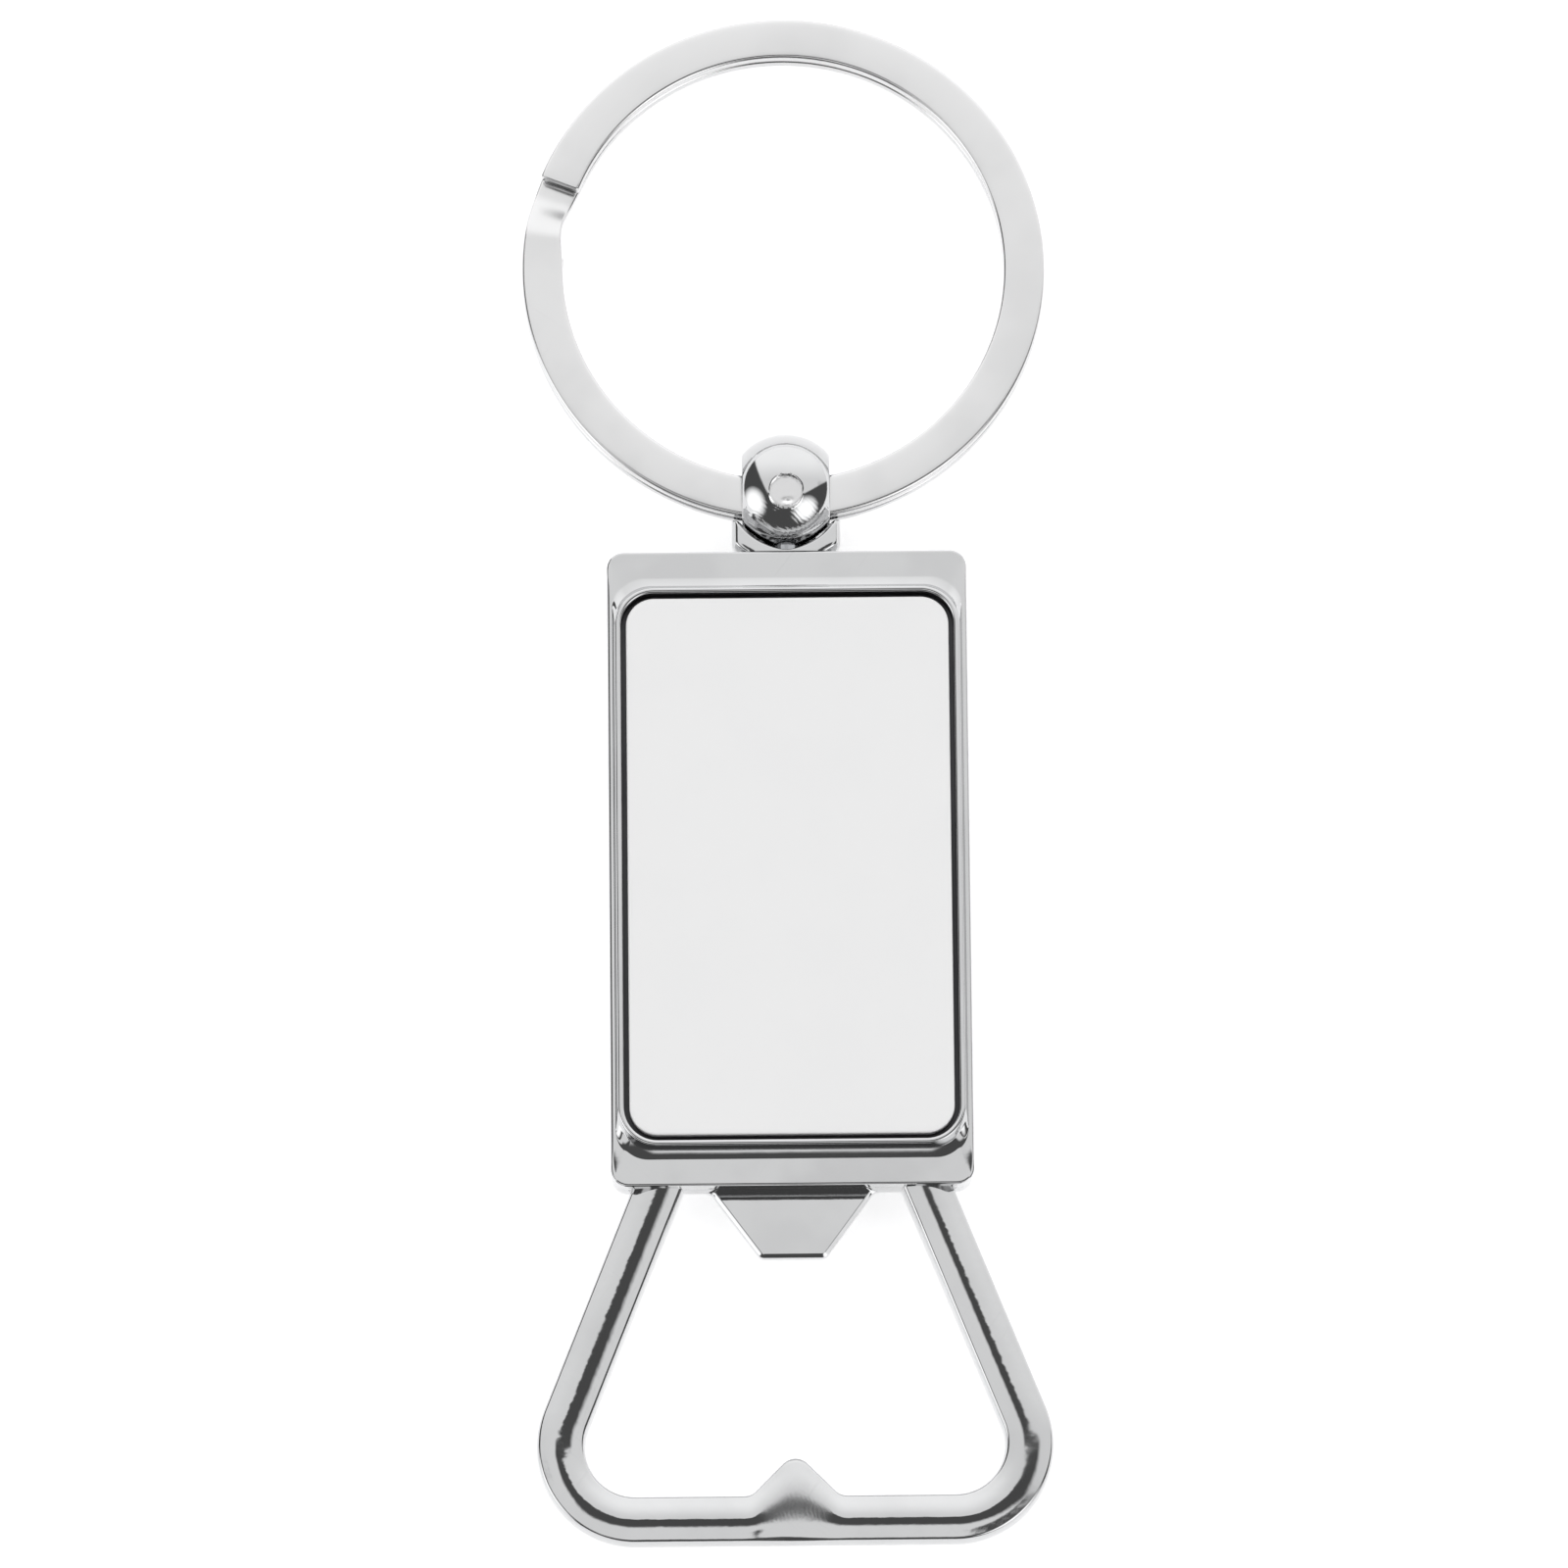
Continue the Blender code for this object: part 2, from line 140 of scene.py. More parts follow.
class Wiring:
    # a short way to place nodes and join sockets in one tree
    def __init__(self, tree):
        self.tree = tree

    def add(self, kind, inputs=None, **settings):
        node = self.tree.nodes.new(kind)
        for key, value in settings.items():
            setattr(node, key, value)
        for key, value in (inputs or {}).items():
            self.put(node.inputs[key], value)
        return node

    def put(self, socket, value):
        if isinstance(value, bpy.types.NodeSocket):
            self.tree.links.new(value, socket)
        else:
            socket.default_value = value

    def maths(self, operation, *values):
        node = self.add("ShaderNodeMath", operation=operation)
        for socket, value in zip(node.inputs, values):
            self.put(socket, value)
        return node.outputs[0]

    def dot(self, vector, direction):
        node = self.add("ShaderNodeVectorMath", {0: vector, 1: tuple(direction)}, operation="DOT_PRODUCT")
        return node.outputs["Value"]

    def ramp(self, value, low, high, fromValue=0.0, toValue=1.0):
        node = self.add("ShaderNodeMapRange", {
            "Value": value, "From Min": low, "From Max": high, "To Min": fromValue, "To Max": toValue,
        }, interpolation_type="SMOOTHSTEP", clamp=True)
        return node.outputs["Result"]


def softSpot(w, way, centre, inner, outer):
    # 1 within the inner angle of a direction, 0 beyond the outer one
    cosines = [math.cos(math.radians(v)) for v in (outer, inner)]
    return w.ramp(w.dot(way, unit(centre)), *cosines)


def darkCone(w, way, direction, low, high):
    # 1 within a cone about a direction, with soft limits given as cosines
    return w.ramp(w.dot(way, unit(direction)), low, high)


def band(w, value, outerLow, innerLow, innerHigh, outerHigh):
    # 1 between the inner limits, 0 beyond the outer ones
    return w.maths("MULTIPLY", w.ramp(value, outerLow, innerLow), w.ramp(value, outerHigh, innerHigh))


def makeWorld(spec):
    # brightness by direction: a white tent, an opening about the camera, a dark wing on each side, a
    # dark band round the horizon, a dark front and two soft lamps low in front
    world = bpy.data.worlds.new("softTent")
    bpy.context.scene.world = world
    world.use_nodes = True
    tree = world.node_tree
    tree.nodes.clear()
    w = Wiring(tree)
    way = w.add("ShaderNodeTexCoord").outputs["Generated"]
    upness = w.dot(way, (0, 0, 1))
    backness = w.dot(way, (0, 1, 0))
    sideness = w.dot(way, (1, 0, 0))
    light = w.ramp(backness, *spec["backLimits"], spec["overhead"], spec["lowBack"])
    wings = w.maths("MAXIMUM", darkCone(w, way, *spec["leftWing"]), darkCone(w, way, *spec["rightWing"]))
    front = darkCone(w, way, *spec["front"])
    openX, openY = band(w, sideness, *spec["openingX"]), band(w, backness, *spec["openingY"])
    openUp = w.ramp(upness, *spec["openingUp"])
    opening = w.maths("MULTIPLY", w.maths("MULTIPLY", openX, openY), openUp)
    fade = w.ramp(backness, *reversed(spec["horizonBack"]))
    level = w.maths("MULTIPLY", band(w, upness, *spec["horizonUp"]), fade)
    level = w.maths("MULTIPLY", level, spec["horizon"])
    dark = w.maths("MAXIMUM", w.maths("MAXIMUM", wings, level), w.maths("MAXIMUM", front, opening))
    shaded = w.maths("MULTIPLY_ADD", w.maths("SUBTRACT", spec["dark"], light), dark, light)
    lamps = w.maths("MAXIMUM", *[softSpot(w, way, centre, *spec["lampAngles"]) for centre in spec["lamps"]])
    total = w.maths("MAXIMUM", shaded, w.maths("MULTIPLY", lamps, spec["lampLevel"]))
    above = w.ramp(upness, -spec["groundEdge"], spec["groundEdge"])
    total = w.maths("MULTIPLY_ADD", w.maths("SUBTRACT", total, 1.0), above, 1.0)
    background = w.add("ShaderNodeBackground", {"Color": (*spec["tent"], 1.0), "Strength": total})
    output = w.add("ShaderNodeOutputWorld")
    tree.links.new(background.outputs[0], output.inputs["Surface"])


def makeFloor(spec, height):
    half = spec["floorSize"] / 2
    mesh = bpy.data.meshes.new("floor")
    corners = [(-half, -half, height), (half, -half, height), (half, half, height), (-half, half, height)]
    mesh.from_pydata(corners, [], [(0, 1, 2, 3)])
    floor = bpy.data.objects.new("floor", mesh)
    bpy.context.scene.collection.objects.link(floor)
    material = bpy.data.materials.new("paleFloor")
    material.use_nodes = True
    shader = material.node_tree.nodes["Principled BSDF"]
    shader.inputs["Base Color"].default_value = (*spec["floorColour"], 1.0)
    shader.inputs["Roughness"].default_value = spec["floorRoughness"]
    shader.inputs["Specular IOR Level"].default_value = spec["floorShine"]
    shader.inputs["Emission Color"].default_value = (1.0, 1.0, 1.0, 1.0)
    shader.inputs["Emission Strength"].default_value = spec["floorGlow"]
    mesh.materials.append(material)


makeCamera(cameraSpec)
makeWorld(roomSpec)
makeFloor(roomSpec, cadLow.z - roomSpec["floorGap"])
bpy.context.scene.view_settings.view_transform = "Standard"
print("camera, room and floor made")


def skin(name, grid, ring=False, sharp=38.0, attributes=None):
    # grid is rows by columns of points; columns run round and close, rows run along. With ring the last
    # row joins the first, otherwise each end is closed to the mean point of its row
    rows, columns = grid.shape[:2]
    points = grid.reshape(-1, 3)
    index = np.arange(rows * columns).reshape(rows, columns)
    here = index if ring else index[:-1]
    there = np.roll(index, -1, axis=0) if ring else index[1:]
    quads = np.stack([here, np.roll(here, -1, 1), np.roll(there, -1, 1), there], axis=2).reshape(-1, 4)
    faces = quads.tolist()
    if not ring:
        points = np.vstack([points, grid[0].mean(0), grid[-1].mean(0)])
        for row, middle in ((index[0], len(points) - 2), (index[-1], len(points) - 1)):
            faces += np.stack([row, np.roll(row, -1), np.full(columns, middle)], axis=1).tolist()
    mesh = bpy.data.meshes.new(name)
    mesh.from_pydata(points.tolist(), [], faces)
    work = bmesh.new()
    work.from_mesh(mesh)
    bmesh.ops.recalc_face_normals(work, faces=work.faces)
    work.to_mesh(mesh)
    work.free()
    for key, values in (attributes or {}).items():
        values = np.asarray(values, np.float32).ravel()
        spare = len(points) - len(values)
        if spare:
            values = np.concatenate([values, [values[:columns].mean(), values[-columns:].mean()]])
        layer = mesh.attributes.new(key, "FLOAT", "POINT")
        layer.data.foreach_set("value", values.astype(np.float32))
    mesh.shade_smooth()
    mesh.set_sharp_from_angle(angle=math.radians(sharp))
    made = bpy.data.objects.new(name, mesh)
    bpy.context.scene.collection.objects.link(made)
    return made


def finishPiece(piece, body, slot, material, *stoodFor):
    piece.data.materials.append(material)
    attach(piece, body)
    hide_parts(*stoodFor)
    print(f"{piece.name}: {len(piece.data.vertices)} points, {len(piece.data.polygons)} faces")


def smoothStep(low, high, value):
    t = np.clip((value - low) / (high - low), 0, 1)
    return t * t * (3 - 2 * t)


def roundedRings(halfX, halfY, radius, arcSteps=16, sideSteps=40):
    # rings of rounded rectangles, one per entry: quarter arcs of the radius about corner centres at
    # half size minus radius, joined by straight runs that are split evenly
    halfX, halfY, radius = [np.asarray(v, float)[:, None] for v in (halfX, halfY, radius)]
    arcs = []
    for corner, (signX, signY) in enumerate(((1, 1), (-1, 1), (-1, -1), (1, -1))):
        angle = math.pi / 2 * (corner + np.linspace(0, 1, arcSteps + 1))
        x = signX * (halfX - radius) + radius * np.cos(angle)
        y = signY * (halfY - radius) + radius * np.sin(angle)
        arcs.append(np.stack([x, y], axis=2))
    share = np.linspace(0, 1, sideSteps + 1)[1:-1, None]
    runs = []
    for here, there in zip(arcs, arcs[1:] + arcs[:1]):
        runs += [here, here[:, -1:] + (there[:, :1] - here[:, -1:]) * share]
    return np.concatenate(runs, axis=1)


def lifted(rings, height):
    # gives flat rings their heights, one per ring or one per point
    height = np.broadcast_to(np.asarray(height, float).reshape(len(rings), -1), rings.shape[:2])
    return np.concatenate([rings, height[:, :, None]], axis=2)


def newGroup(name, inputs, outputs):
    group = bpy.data.node_groups.new(name, "ShaderNodeTree")
    for label, kind, value in inputs:
        socket = group.interface.new_socket(name=label, in_out="INPUT", socket_type=kind)
        if value is not None:
            socket.default_value = value
    for label, kind in outputs:
        group.interface.new_socket(name=label, in_out="OUTPUT", socket_type=kind)
    return group, Wiring(group), group.nodes.new("NodeGroupInput"), group.nodes.new("NodeGroupOutput")


def makeCastRipple():
    # height of a plated casting in metres: a slow ripple plus a finer pebble, each a noise times
    # its depth
    group, w, given, out = newGroup("castRipple", [
        ("Vector", "NodeSocketVector", None),
        ("Ripple Scale", "NodeSocketFloat", 900.0),
        ("Ripple Depth", "NodeSocketFloat", 1.0e-6),
        ("Pebble Scale", "NodeSocketFloat", 4200.0),
        ("Pebble Depth", "NodeSocketFloat", 1.0e-7),
    ], [("Height", "NodeSocketFloat"), ("Mask", "NodeSocketFloat")])
    place = given.outputs["Vector"]
    slow = w.add("ShaderNodeTexNoise", {
        "Vector": place, "Scale": given.outputs["Ripple Scale"], "Detail": 1.5, "Roughness": 0.45,
    })
    fine = w.add("ShaderNodeTexNoise", {
        "Vector": place, "Scale": given.outputs["Pebble Scale"], "Detail": 3.0, "Roughness": 0.6,
    })
    deep = w.maths("MULTIPLY", slow.outputs["Fac"], given.outputs["Ripple Depth"])
    height = w.maths("MULTIPLY_ADD", fine.outputs["Fac"], given.outputs["Pebble Depth"], deep)
    w.put(out.inputs["Height"], height)
    w.put(out.inputs["Mask"], fine.outputs["Fac"])
    return group


def makeHairScratches():
    # mask of hair scratches: two stretched noises, each thresholded so that only thin lines are left
    group, w, given, out = newGroup("hairScratches", [
        ("Vector", "NodeSocketVector", None),
        ("Scale", "NodeSocketFloat", 160.0),
        ("Stretch", "NodeSocketFloat", 34.0),
        ("Amount", "NodeSocketFloat", 0.5),
    ], [("Mask", "NodeSocketFloat")])
    masks = []
    for turn in (0.62, -0.95):
        turned = w.add("ShaderNodeVectorRotate", {
            "Vector": given.outputs["Vector"], "Angle": turn,
        }, rotation_type="Z_AXIS")
        parts = w.add("ShaderNodeSeparateXYZ", {"Vector": turned.outputs[0]})
        long = w.add("ShaderNodeCombineXYZ", {
            "X": w.maths("MULTIPLY", parts.outputs["X"], given.outputs["Stretch"]),
            "Y": parts.outputs["Y"], "Z": parts.outputs["Z"],
        })
        noise = w.add("ShaderNodeTexNoise", {
            "Vector": long.outputs[0], "Scale": given.outputs["Scale"], "Detail": 4.0, "Roughness": 0.72,
        })
        masks.append(w.ramp(noise.outputs["Fac"], 0.60, 0.67))
    both = w.maths("MAXIMUM", *masks)
    w.put(out.inputs["Mask"], w.maths("MULTIPLY", both, given.outputs["Amount"]))
    return group


def makeHandling():
    # mask of dulled patches from handling: a low noise with soft limits
    group, w, given, out = newGroup("handling", [
        ("Vector", "NodeSocketVector", None),
        ("Scale", "NodeSocketFloat", 160.0),
    ], [("Mask", "NodeSocketFloat")])
    noise = w.add("ShaderNodeTexNoise", {
        "Vector": given.outputs["Vector"], "Scale": given.outputs["Scale"],
        "Detail": 3.0, "Roughness": 0.55,
    })
    w.put(out.inputs["Mask"], w.ramp(noise.outputs["Fac"], 0.42, 0.68))
    return group


def makePolishLines():
    # height of fine parallel polishing lines: sine of the distance along a direction, bent by a noise,
    # times a depth and a mask
    group, w, given, out = newGroup("polishLines", [
        ("Vector", "NodeSocketVector", None),
        ("Across", "NodeSocketVector", (0.0, 1.0, 0.0)),
        ("Lines", "NodeSocketFloat", 30000.0),
        ("Depth", "NodeSocketFloat", 1.5e-6),
        ("Mask", "NodeSocketFloat", 1.0),
    ], [("Height", "NodeSocketFloat")])
    bent = w.add("ShaderNodeTexNoise", {"Vector": given.outputs["Vector"], "Scale": 1400.0, "Detail": 2.0})
    along = w.add("ShaderNodeVectorMath", {
        0: given.outputs["Vector"], 1: given.outputs["Across"],
    }, operation="DOT_PRODUCT")
    shift = w.maths("MULTIPLY", bent.outputs["Fac"], 9.0)
    phase = w.maths("MULTIPLY_ADD", along.outputs["Value"], given.outputs["Lines"], shift)
    wave = w.maths("MULTIPLY", w.maths("SINE", phase), given.outputs["Depth"])
    w.put(out.inputs["Height"], w.maths("MULTIPLY", wave, given.outputs["Mask"]))
    return group


castRipple = makeCastRipple()
hairScratches = makeHairScratches()
handling = makeHandling()
polishLines = makePolishLines()


def useGroup(w, group, **values):
    node = w.add("ShaderNodeGroup", node_tree=group)
    for key, value in values.items():
        w.put(node.inputs[key.replace("_", " ")], value)
    return node


chromeSpec = {
    "colour": (0.575, 0.578, 0.583),
    "wornColour": (0.52, 0.523, 0.528),
    # painted shade: the dark colour laid down the bezel's recess wall and on its floor
    "recessShadeColour": (0.10, 0.10, 0.105),
    "roughness": 0.045,
    "dulled": 0.13,            # roughness of handled and scratched places
    "handled": 0.6,
    "recessRough": 0.35,
    "frost": 0.30,             # added roughness of a pressed mark, its colour and that colour's share
    "frostColour": (0.92, 0.92, 0.925),
    "frostShare": 0.9,
    "scratches": 0.22,
    "scratchDepth": 1.5e-7,
    "lineWay": (0.55, 0.83, 0.0),   # polishing lines, where the mesh's polish attribute has them
    "lines": 30000.0,
    "lineDepth": 1.6e-6,
    "polishRough": 0.04,
}


def mixColour(w, factor, first, second):
    node = w.add("ShaderNodeMix", data_type="RGBA")
    w.put(node.inputs[0], factor)
    w.put(node.inputs[6], first if isinstance(first, bpy.types.NodeSocket) else (*first, 1.0))
    w.put(node.inputs[7], second if isinstance(second, bpy.types.NodeSocket) else (*second, 1.0))
    return node.outputs[2]


def chromeMaterial(name, spec, **ripple):
    # nickel-chrome plate: ripple, pebble, scratches and polishing lines in the bump, scratches and
    # handling in colour and roughness; the mesh's attributes say where painted shade darkens and dulls it
    # down a recess, where a pressed mark frosts it, or where it is covered with polishing lines
    material = bpy.data.materials.new(name)
    material.use_nodes = True
    w = Wiring(material.node_tree)
    shader = material.node_tree.nodes["Principled BSDF"]
    place = w.add("ShaderNodeTexCoord").outputs["Object"]
    recessShade, mark, polish = [
        w.add("ShaderNodeAttribute", attribute_name=key).outputs["Fac"]
        for key in ("recessShade", "mark", "polish")
    ]
    cast = useGroup(w, castRipple, Vector=place, **ripple)
    hair = useGroup(w, hairScratches, Vector=place, Amount=spec["scratches"])
    hands = useGroup(w, handling, Vector=place)
    lines = useGroup(
        w, polishLines, Vector=place, Mask=polish,
        Across=spec["lineWay"], Lines=spec["lines"], Depth=spec["lineDepth"],
    )
    dulled = w.maths("MULTIPLY", hands.outputs["Mask"], spec["handled"])
    marks = w.maths("MAXIMUM", dulled, hair.outputs["Mask"])
    colour = mixColour(w, marks, spec["colour"], spec["wornColour"])
    # painted shade: the recess attribute darkens the colour down the recess wall and on its floor
    colour = mixColour(w, recessShade, colour, spec["recessShadeColour"])
    colour = mixColour(w, w.maths("MULTIPLY", mark, spec["frostShare"]), colour, spec["frostColour"])
    rough = w.maths("MULTIPLY_ADD", marks, spec["dulled"] - spec["roughness"], spec["roughness"])
    rough = w.maths("MULTIPLY_ADD", recessShade, spec["recessRough"], rough)
    rough = w.maths("MULTIPLY_ADD", mark, spec["frost"], rough)
    rough = w.maths("MULTIPLY_ADD", polish, spec["polishRough"], rough)
    height = w.maths("MULTIPLY_ADD", hair.outputs["Mask"], -spec["scratchDepth"], cast.outputs["Height"])
    height = w.maths("ADD", height, lines.outputs["Height"])
    bump = w.add("ShaderNodeBump", {"Strength": 1.0, "Distance": 1.0, "Height": height})
    w.put(shader.inputs["Base Color"], colour)
    w.put(shader.inputs["Roughness"], rough)
    w.put(shader.inputs["Normal"], bump.outputs["Normal"])
    shader.inputs["Metallic"].default_value = 1.0
    return material


print("finishes made")


bezelSpec = {
    "halfWidth": 10.25 * mm,
    "halfLength": 18.3 * mm,
    "cornerRadius": 0.95 * mm,
    "seamHeight": 1.83 * mm,
    "seamEase": 0.06 * mm,
    "endBand": 2.20 * mm,      # outer edge to bead, at the ends and at the sides
    "sideBand": 0.45 * mm,
    "endEdge": 2.97 * mm,      # heights across the end bands: edge, rounded shoulder, foot of the hollow
    "endShoulder": 3.05 * mm,
    "endPillow": 0.015 * mm,   # fall of the band towards its outer edge
    "shoulderShare": 0.05,
    "hollow": 0.10 * mm,       # height gained in the shallow hollow before the bead's steep side
    "hollowShare": 0.70,
    "hollowCurve": 0.35,
    "steepShare": 0.915,
    "steepCurve": 0.2,
    "sideEdge": 2.86 * mm,     # the sides have a round edge, a narrow ledge and a hollow up to the bead
    "sideRound": 0.50,
    "sideSteep": 0.66,
    "sideRises": (0.26, 0.06, 0.68),   # their shares of the side's whole rise
    "climbPower": 1.4,
    "beadFoot": 3.62 * mm,
    "beadTop": 3.74 * mm,
    "beadWidth": 0.33 * mm,
    "beadRadius": 2.23 * mm,
    "recessFloor": 2.60 * mm,
    "recessLip": 0.1 * mm,
    "recessShadeRamp": 2.5,         # painted shade on the recess wall darkens this many times as fast as the wall goes down
    "bandSteps": 61,
    "arcSteps": 24,
    "sideSteps": 60,
}


def sideShares(arcSteps, sideSteps):
    # for each point round a rounded rectangle: 1 on the long sides, 0 on the ends and on the end half
    # of each corner, 1 - (1 - t)^2 on the side half, which leaves a crisp line at mid corner
    t = np.linspace(0, 1, arcSteps + 1)
    leaving = np.clip(1 - 2 * t, 0, 1)
    run = np.ones(sideSteps - 1)
    shares = np.concatenate([leaving, 0 * run, leaving[::-1], run, leaving, 0 * run, leaving[::-1], run])
    return 1 - (1 - shares) ** 2


def curved(t, part):
    # from 0 to 1, with this part of it rising as a square and the rest evenly
    return part * t**2 + (1 - part) * t


def makeBezel(spec):
    # rings up the wall from the seam, across the bands from the outer edge to the bead, over the bead's
    # half ellipse and down the recess wall; across the bands the height is the end profile mixed with
    # the side profile by the share round the ring
    shares = sideShares(spec["arcSteps"], spec["sideSteps"])[None, :]
    across = np.linspace(0, 1, spec["bandSteps"]) ** 1.1
    shoulder = np.clip(across / spec["shoulderShare"], 0, 1)
    hollow = np.clip((across - spec["hollowShare"]) / (spec["steepShare"] - spec["hollowShare"]), 0, 1)
    steep = np.clip((across - spec["steepShare"]) / (1 - spec["steepShare"]), 0, 1)
    endZ = spec["endEdge"] + (spec["endShoulder"] - spec["endEdge"]) * np.sqrt(1 - (1 - shoulder) ** 2)
    endZ = endZ - spec["endPillow"] * (1 - across) ** 2
    endZ = endZ + spec["hollow"] * curved(hollow, spec["hollowCurve"])
    rest = spec["beadFoot"] - spec["endShoulder"] - spec["hollow"]
    endZ = endZ + rest * curved(steep, spec["steepCurve"])
    ledge = np.sqrt(1 - (1 - np.clip(across / spec["sideRound"], 0, 1)) ** 2)
    climb = np.clip((across - spec["sideSteep"]) / (1 - spec["sideSteep"]), 0, 1)
    rises = spec["sideRises"]
    sideRise = rises[0] * ledge + rises[1] * across + rises[2] * climb ** spec["climbPower"]
    sideZ = spec["sideEdge"] + (spec["beadFoot"] - spec["sideEdge"]) * sideRise
    bandZ = endZ[:, None] * (1 - shares) + sideZ[:, None] * shares
    seam, ease = spec["seamHeight"], spec["seamEase"]
    wallShare = np.linspace(0, 1, 6)[:-1, None]
    wallZ = seam + ease + (bandZ[:1] - seam - ease) * wallShare
    seamZ = np.repeat([[seam], [seam + 0.3 * ease]], shares.shape[1], axis=1)
    turn = np.linspace(0, math.pi, 17)[1:]
    beadAcross = (1 - np.cos(turn)) / 2 * spec["beadWidth"]
    beadZ = spec["beadFoot"] + (spec["beadTop"] - spec["beadFoot"]) * np.sin(turn)
    down = np.linspace(0, 1, 7)[1:]
    recessZ = spec["beadFoot"] + (spec["recessFloor"] - spec["beadFoot"]) * down
    count = len(wallShare)
    lead = np.concatenate([[ease, 0.3 * ease], np.zeros(count)])
    inX = np.concatenate([lead, spec["sideBand"] * across, spec["sideBand"] + beadAcross])
    inY = np.concatenate([lead, spec["endBand"] * across, spec["endBand"] + beadAcross])
    radius = np.concatenate([
        spec["cornerRadius"] - lead,
        spec["cornerRadius"] + (spec["beadRadius"] - spec["cornerRadius"]) * across,
        spec["beadRadius"] - beadAcross,
    ])
    end = np.concatenate([np.zeros(len(down)), [spec["recessLip"]]])
    inX = np.concatenate([inX, spec["sideBand"] + spec["beadWidth"] + end])
    inY = np.concatenate([inY, spec["endBand"] + spec["beadWidth"] + end])
    radius = np.concatenate([radius, spec["beadRadius"] - spec["beadWidth"] - end])
    halfX, halfY = spec["halfWidth"] - inX, spec["halfLength"] - inY
    rings = roundedRings(halfX, halfY, radius, spec["arcSteps"], spec["sideSteps"])
    level = np.concatenate([beadZ, recessZ, [spec["recessFloor"]]])
    z = np.concatenate([seamZ, wallZ, bandZ, np.repeat(level[:, None], shares.shape[1], axis=1)])
    # painted shade down the recess wall, darker as it goes down and full on the recess floor
    paintedShade = np.minimum(1, spec["recessShadeRamp"] * down)
    recessShade = np.concatenate([np.zeros(len(z) - len(down) - 1), paintedShade, [1.0]])
    grid = lifted(rings, z)
    return skin("frontBezel", grid, sharp=24.0, attributes={"recessShade": np.repeat(recessShade, grid.shape[1])})


backSpec = {
    "halfWidth": 10.25 * mm,
    "halfLength": 18.3 * mm,
    "cornerRadius": 0.95 * mm,
    "leastRadius": 0.3 * mm,
    "thickness": 1.8 * mm,
    "wallHeights": (0.5 * mm, 1.0 * mm, 1.5 * mm),
    "backEase": 0.22 * mm,
    "seamEase": 0.06 * mm,
}

loopSpec = {
    "width": 2.8 * mm,
    "lean": 0.10 * mm,          # how far each side leans in
    "rootHeight": 2.42 * mm,    # the crown falls evenly from the roots to the bar
    "barHeight": 1.85 * mm,
    "crownDrop": 0.43 * mm,
    "flankStart": 0.62,         # share of the half width where the crown's flanks reach their full slope
    "flankCurve": 0.15,
    "edgeStart": 0.86,          # from here to the edge the slope grows by edgeRound
    "edgeRound": 4.5,
    "backEase": 0.24 * mm,
    "sideFoot": 0.1 * mm,
    "sideSteps": 7,
    "crownSteps": 40,
    "reach": 20.1 * mm,
    "rootSpacing": 15.3 * mm,
    "splay": 22.0,
    "bendRadius": 4.2 * mm,
    "toothHeight": 2.1 * mm,
    "toothHalfAngle": 45.0,
    "toothTipRadius": 1.0 * mm,
    "toothFootRadius": 0.9 * mm,
    "toothLean": 0.62,          # how far the crown's ridge follows the tooth
    "toothFall": (0.55, 0.15),  # extra drop of the outer and inner flank as the tooth widens them
    "neck": 12.0 * mm,          # length over which the ends are trimmed to the body's wall
    "rootDepth": 0.02 * mm,
    "linesFrom": (0.15 * mm, 0.9 * mm),      # reach of the tooth over which polishing lines set in
    "linesTo": (0.6 * mm, -0.4 * mm),        # and their place across the section
}

tabSpec = {
    "rootWidth": 9.3 * mm,
    "tipWidth": 3.7 * mm,
    "length": 3.8 * mm,
    "thickness": 0.9 * mm,
    "bevel": 0.24 * mm,
    "bevelDrop": 0.13 * mm,
    "tipRise": 0.10 * mm,       # the face rises this much from root to tip
    "tipRadius": 0.45 * mm,
    "rootRadius": 0.5 * mm,
    "rootDepth": 0.02 * mm,
    "rootFlare": 0.05 * mm,
    "footInset": (0.38 * mm, 0.12 * mm, 0.035 * mm, 0.0, 0.0),     # the eased back edge
    "footHeight": (0.0, 0.0, 0.035 * mm, 0.12 * mm, 0.3 * mm),
    "brimInset": (0.0, 0.02 * mm, 0.06 * mm),                      # the edge under the bevel
    "brimHeight": (-0.06 * mm, -0.02 * mm, 0.005 * mm),
    "bevelInset": (0.6, 0.92, 1.0, 1.1, 1.3, 1.6),                 # in bevel widths
    "bevelFall": (0.42, 0.06, 0.0, 0.0, 0.0, 0.0),                 # in bevel drops
    "riseFrom": (0.2 * mm, 0.6 * mm),
}


def makeBackPlate(spec):
    # a slab: rings of a rounded rectangle with a quarter-round back edge and an eased seam edge
    ease, seam = spec["backEase"], spec["seamEase"]
    turn = np.linspace(0, math.pi / 2, 9)
    wall = np.array(spec["wallHeights"])
    back, rim = [4 * ease, 2 * ease], [seam * 0.3, seam, 4 * ease]
    inset = np.concatenate([back, ease * (1 - np.sin(turn)), 0 * wall, rim])
    top = spec["thickness"] - np.array([seam * 0.3, 0, 0])
    height = np.concatenate([[0, 0], ease * (1 - np.cos(turn)), wall, top])
    radius = np.maximum(spec["cornerRadius"] - inset * 0.5, spec["leastRadius"])
    rings = roundedRings(spec["halfWidth"] - inset, spec["halfLength"] - inset, radius)
    return skin("backPlate", lifted(rings, height))


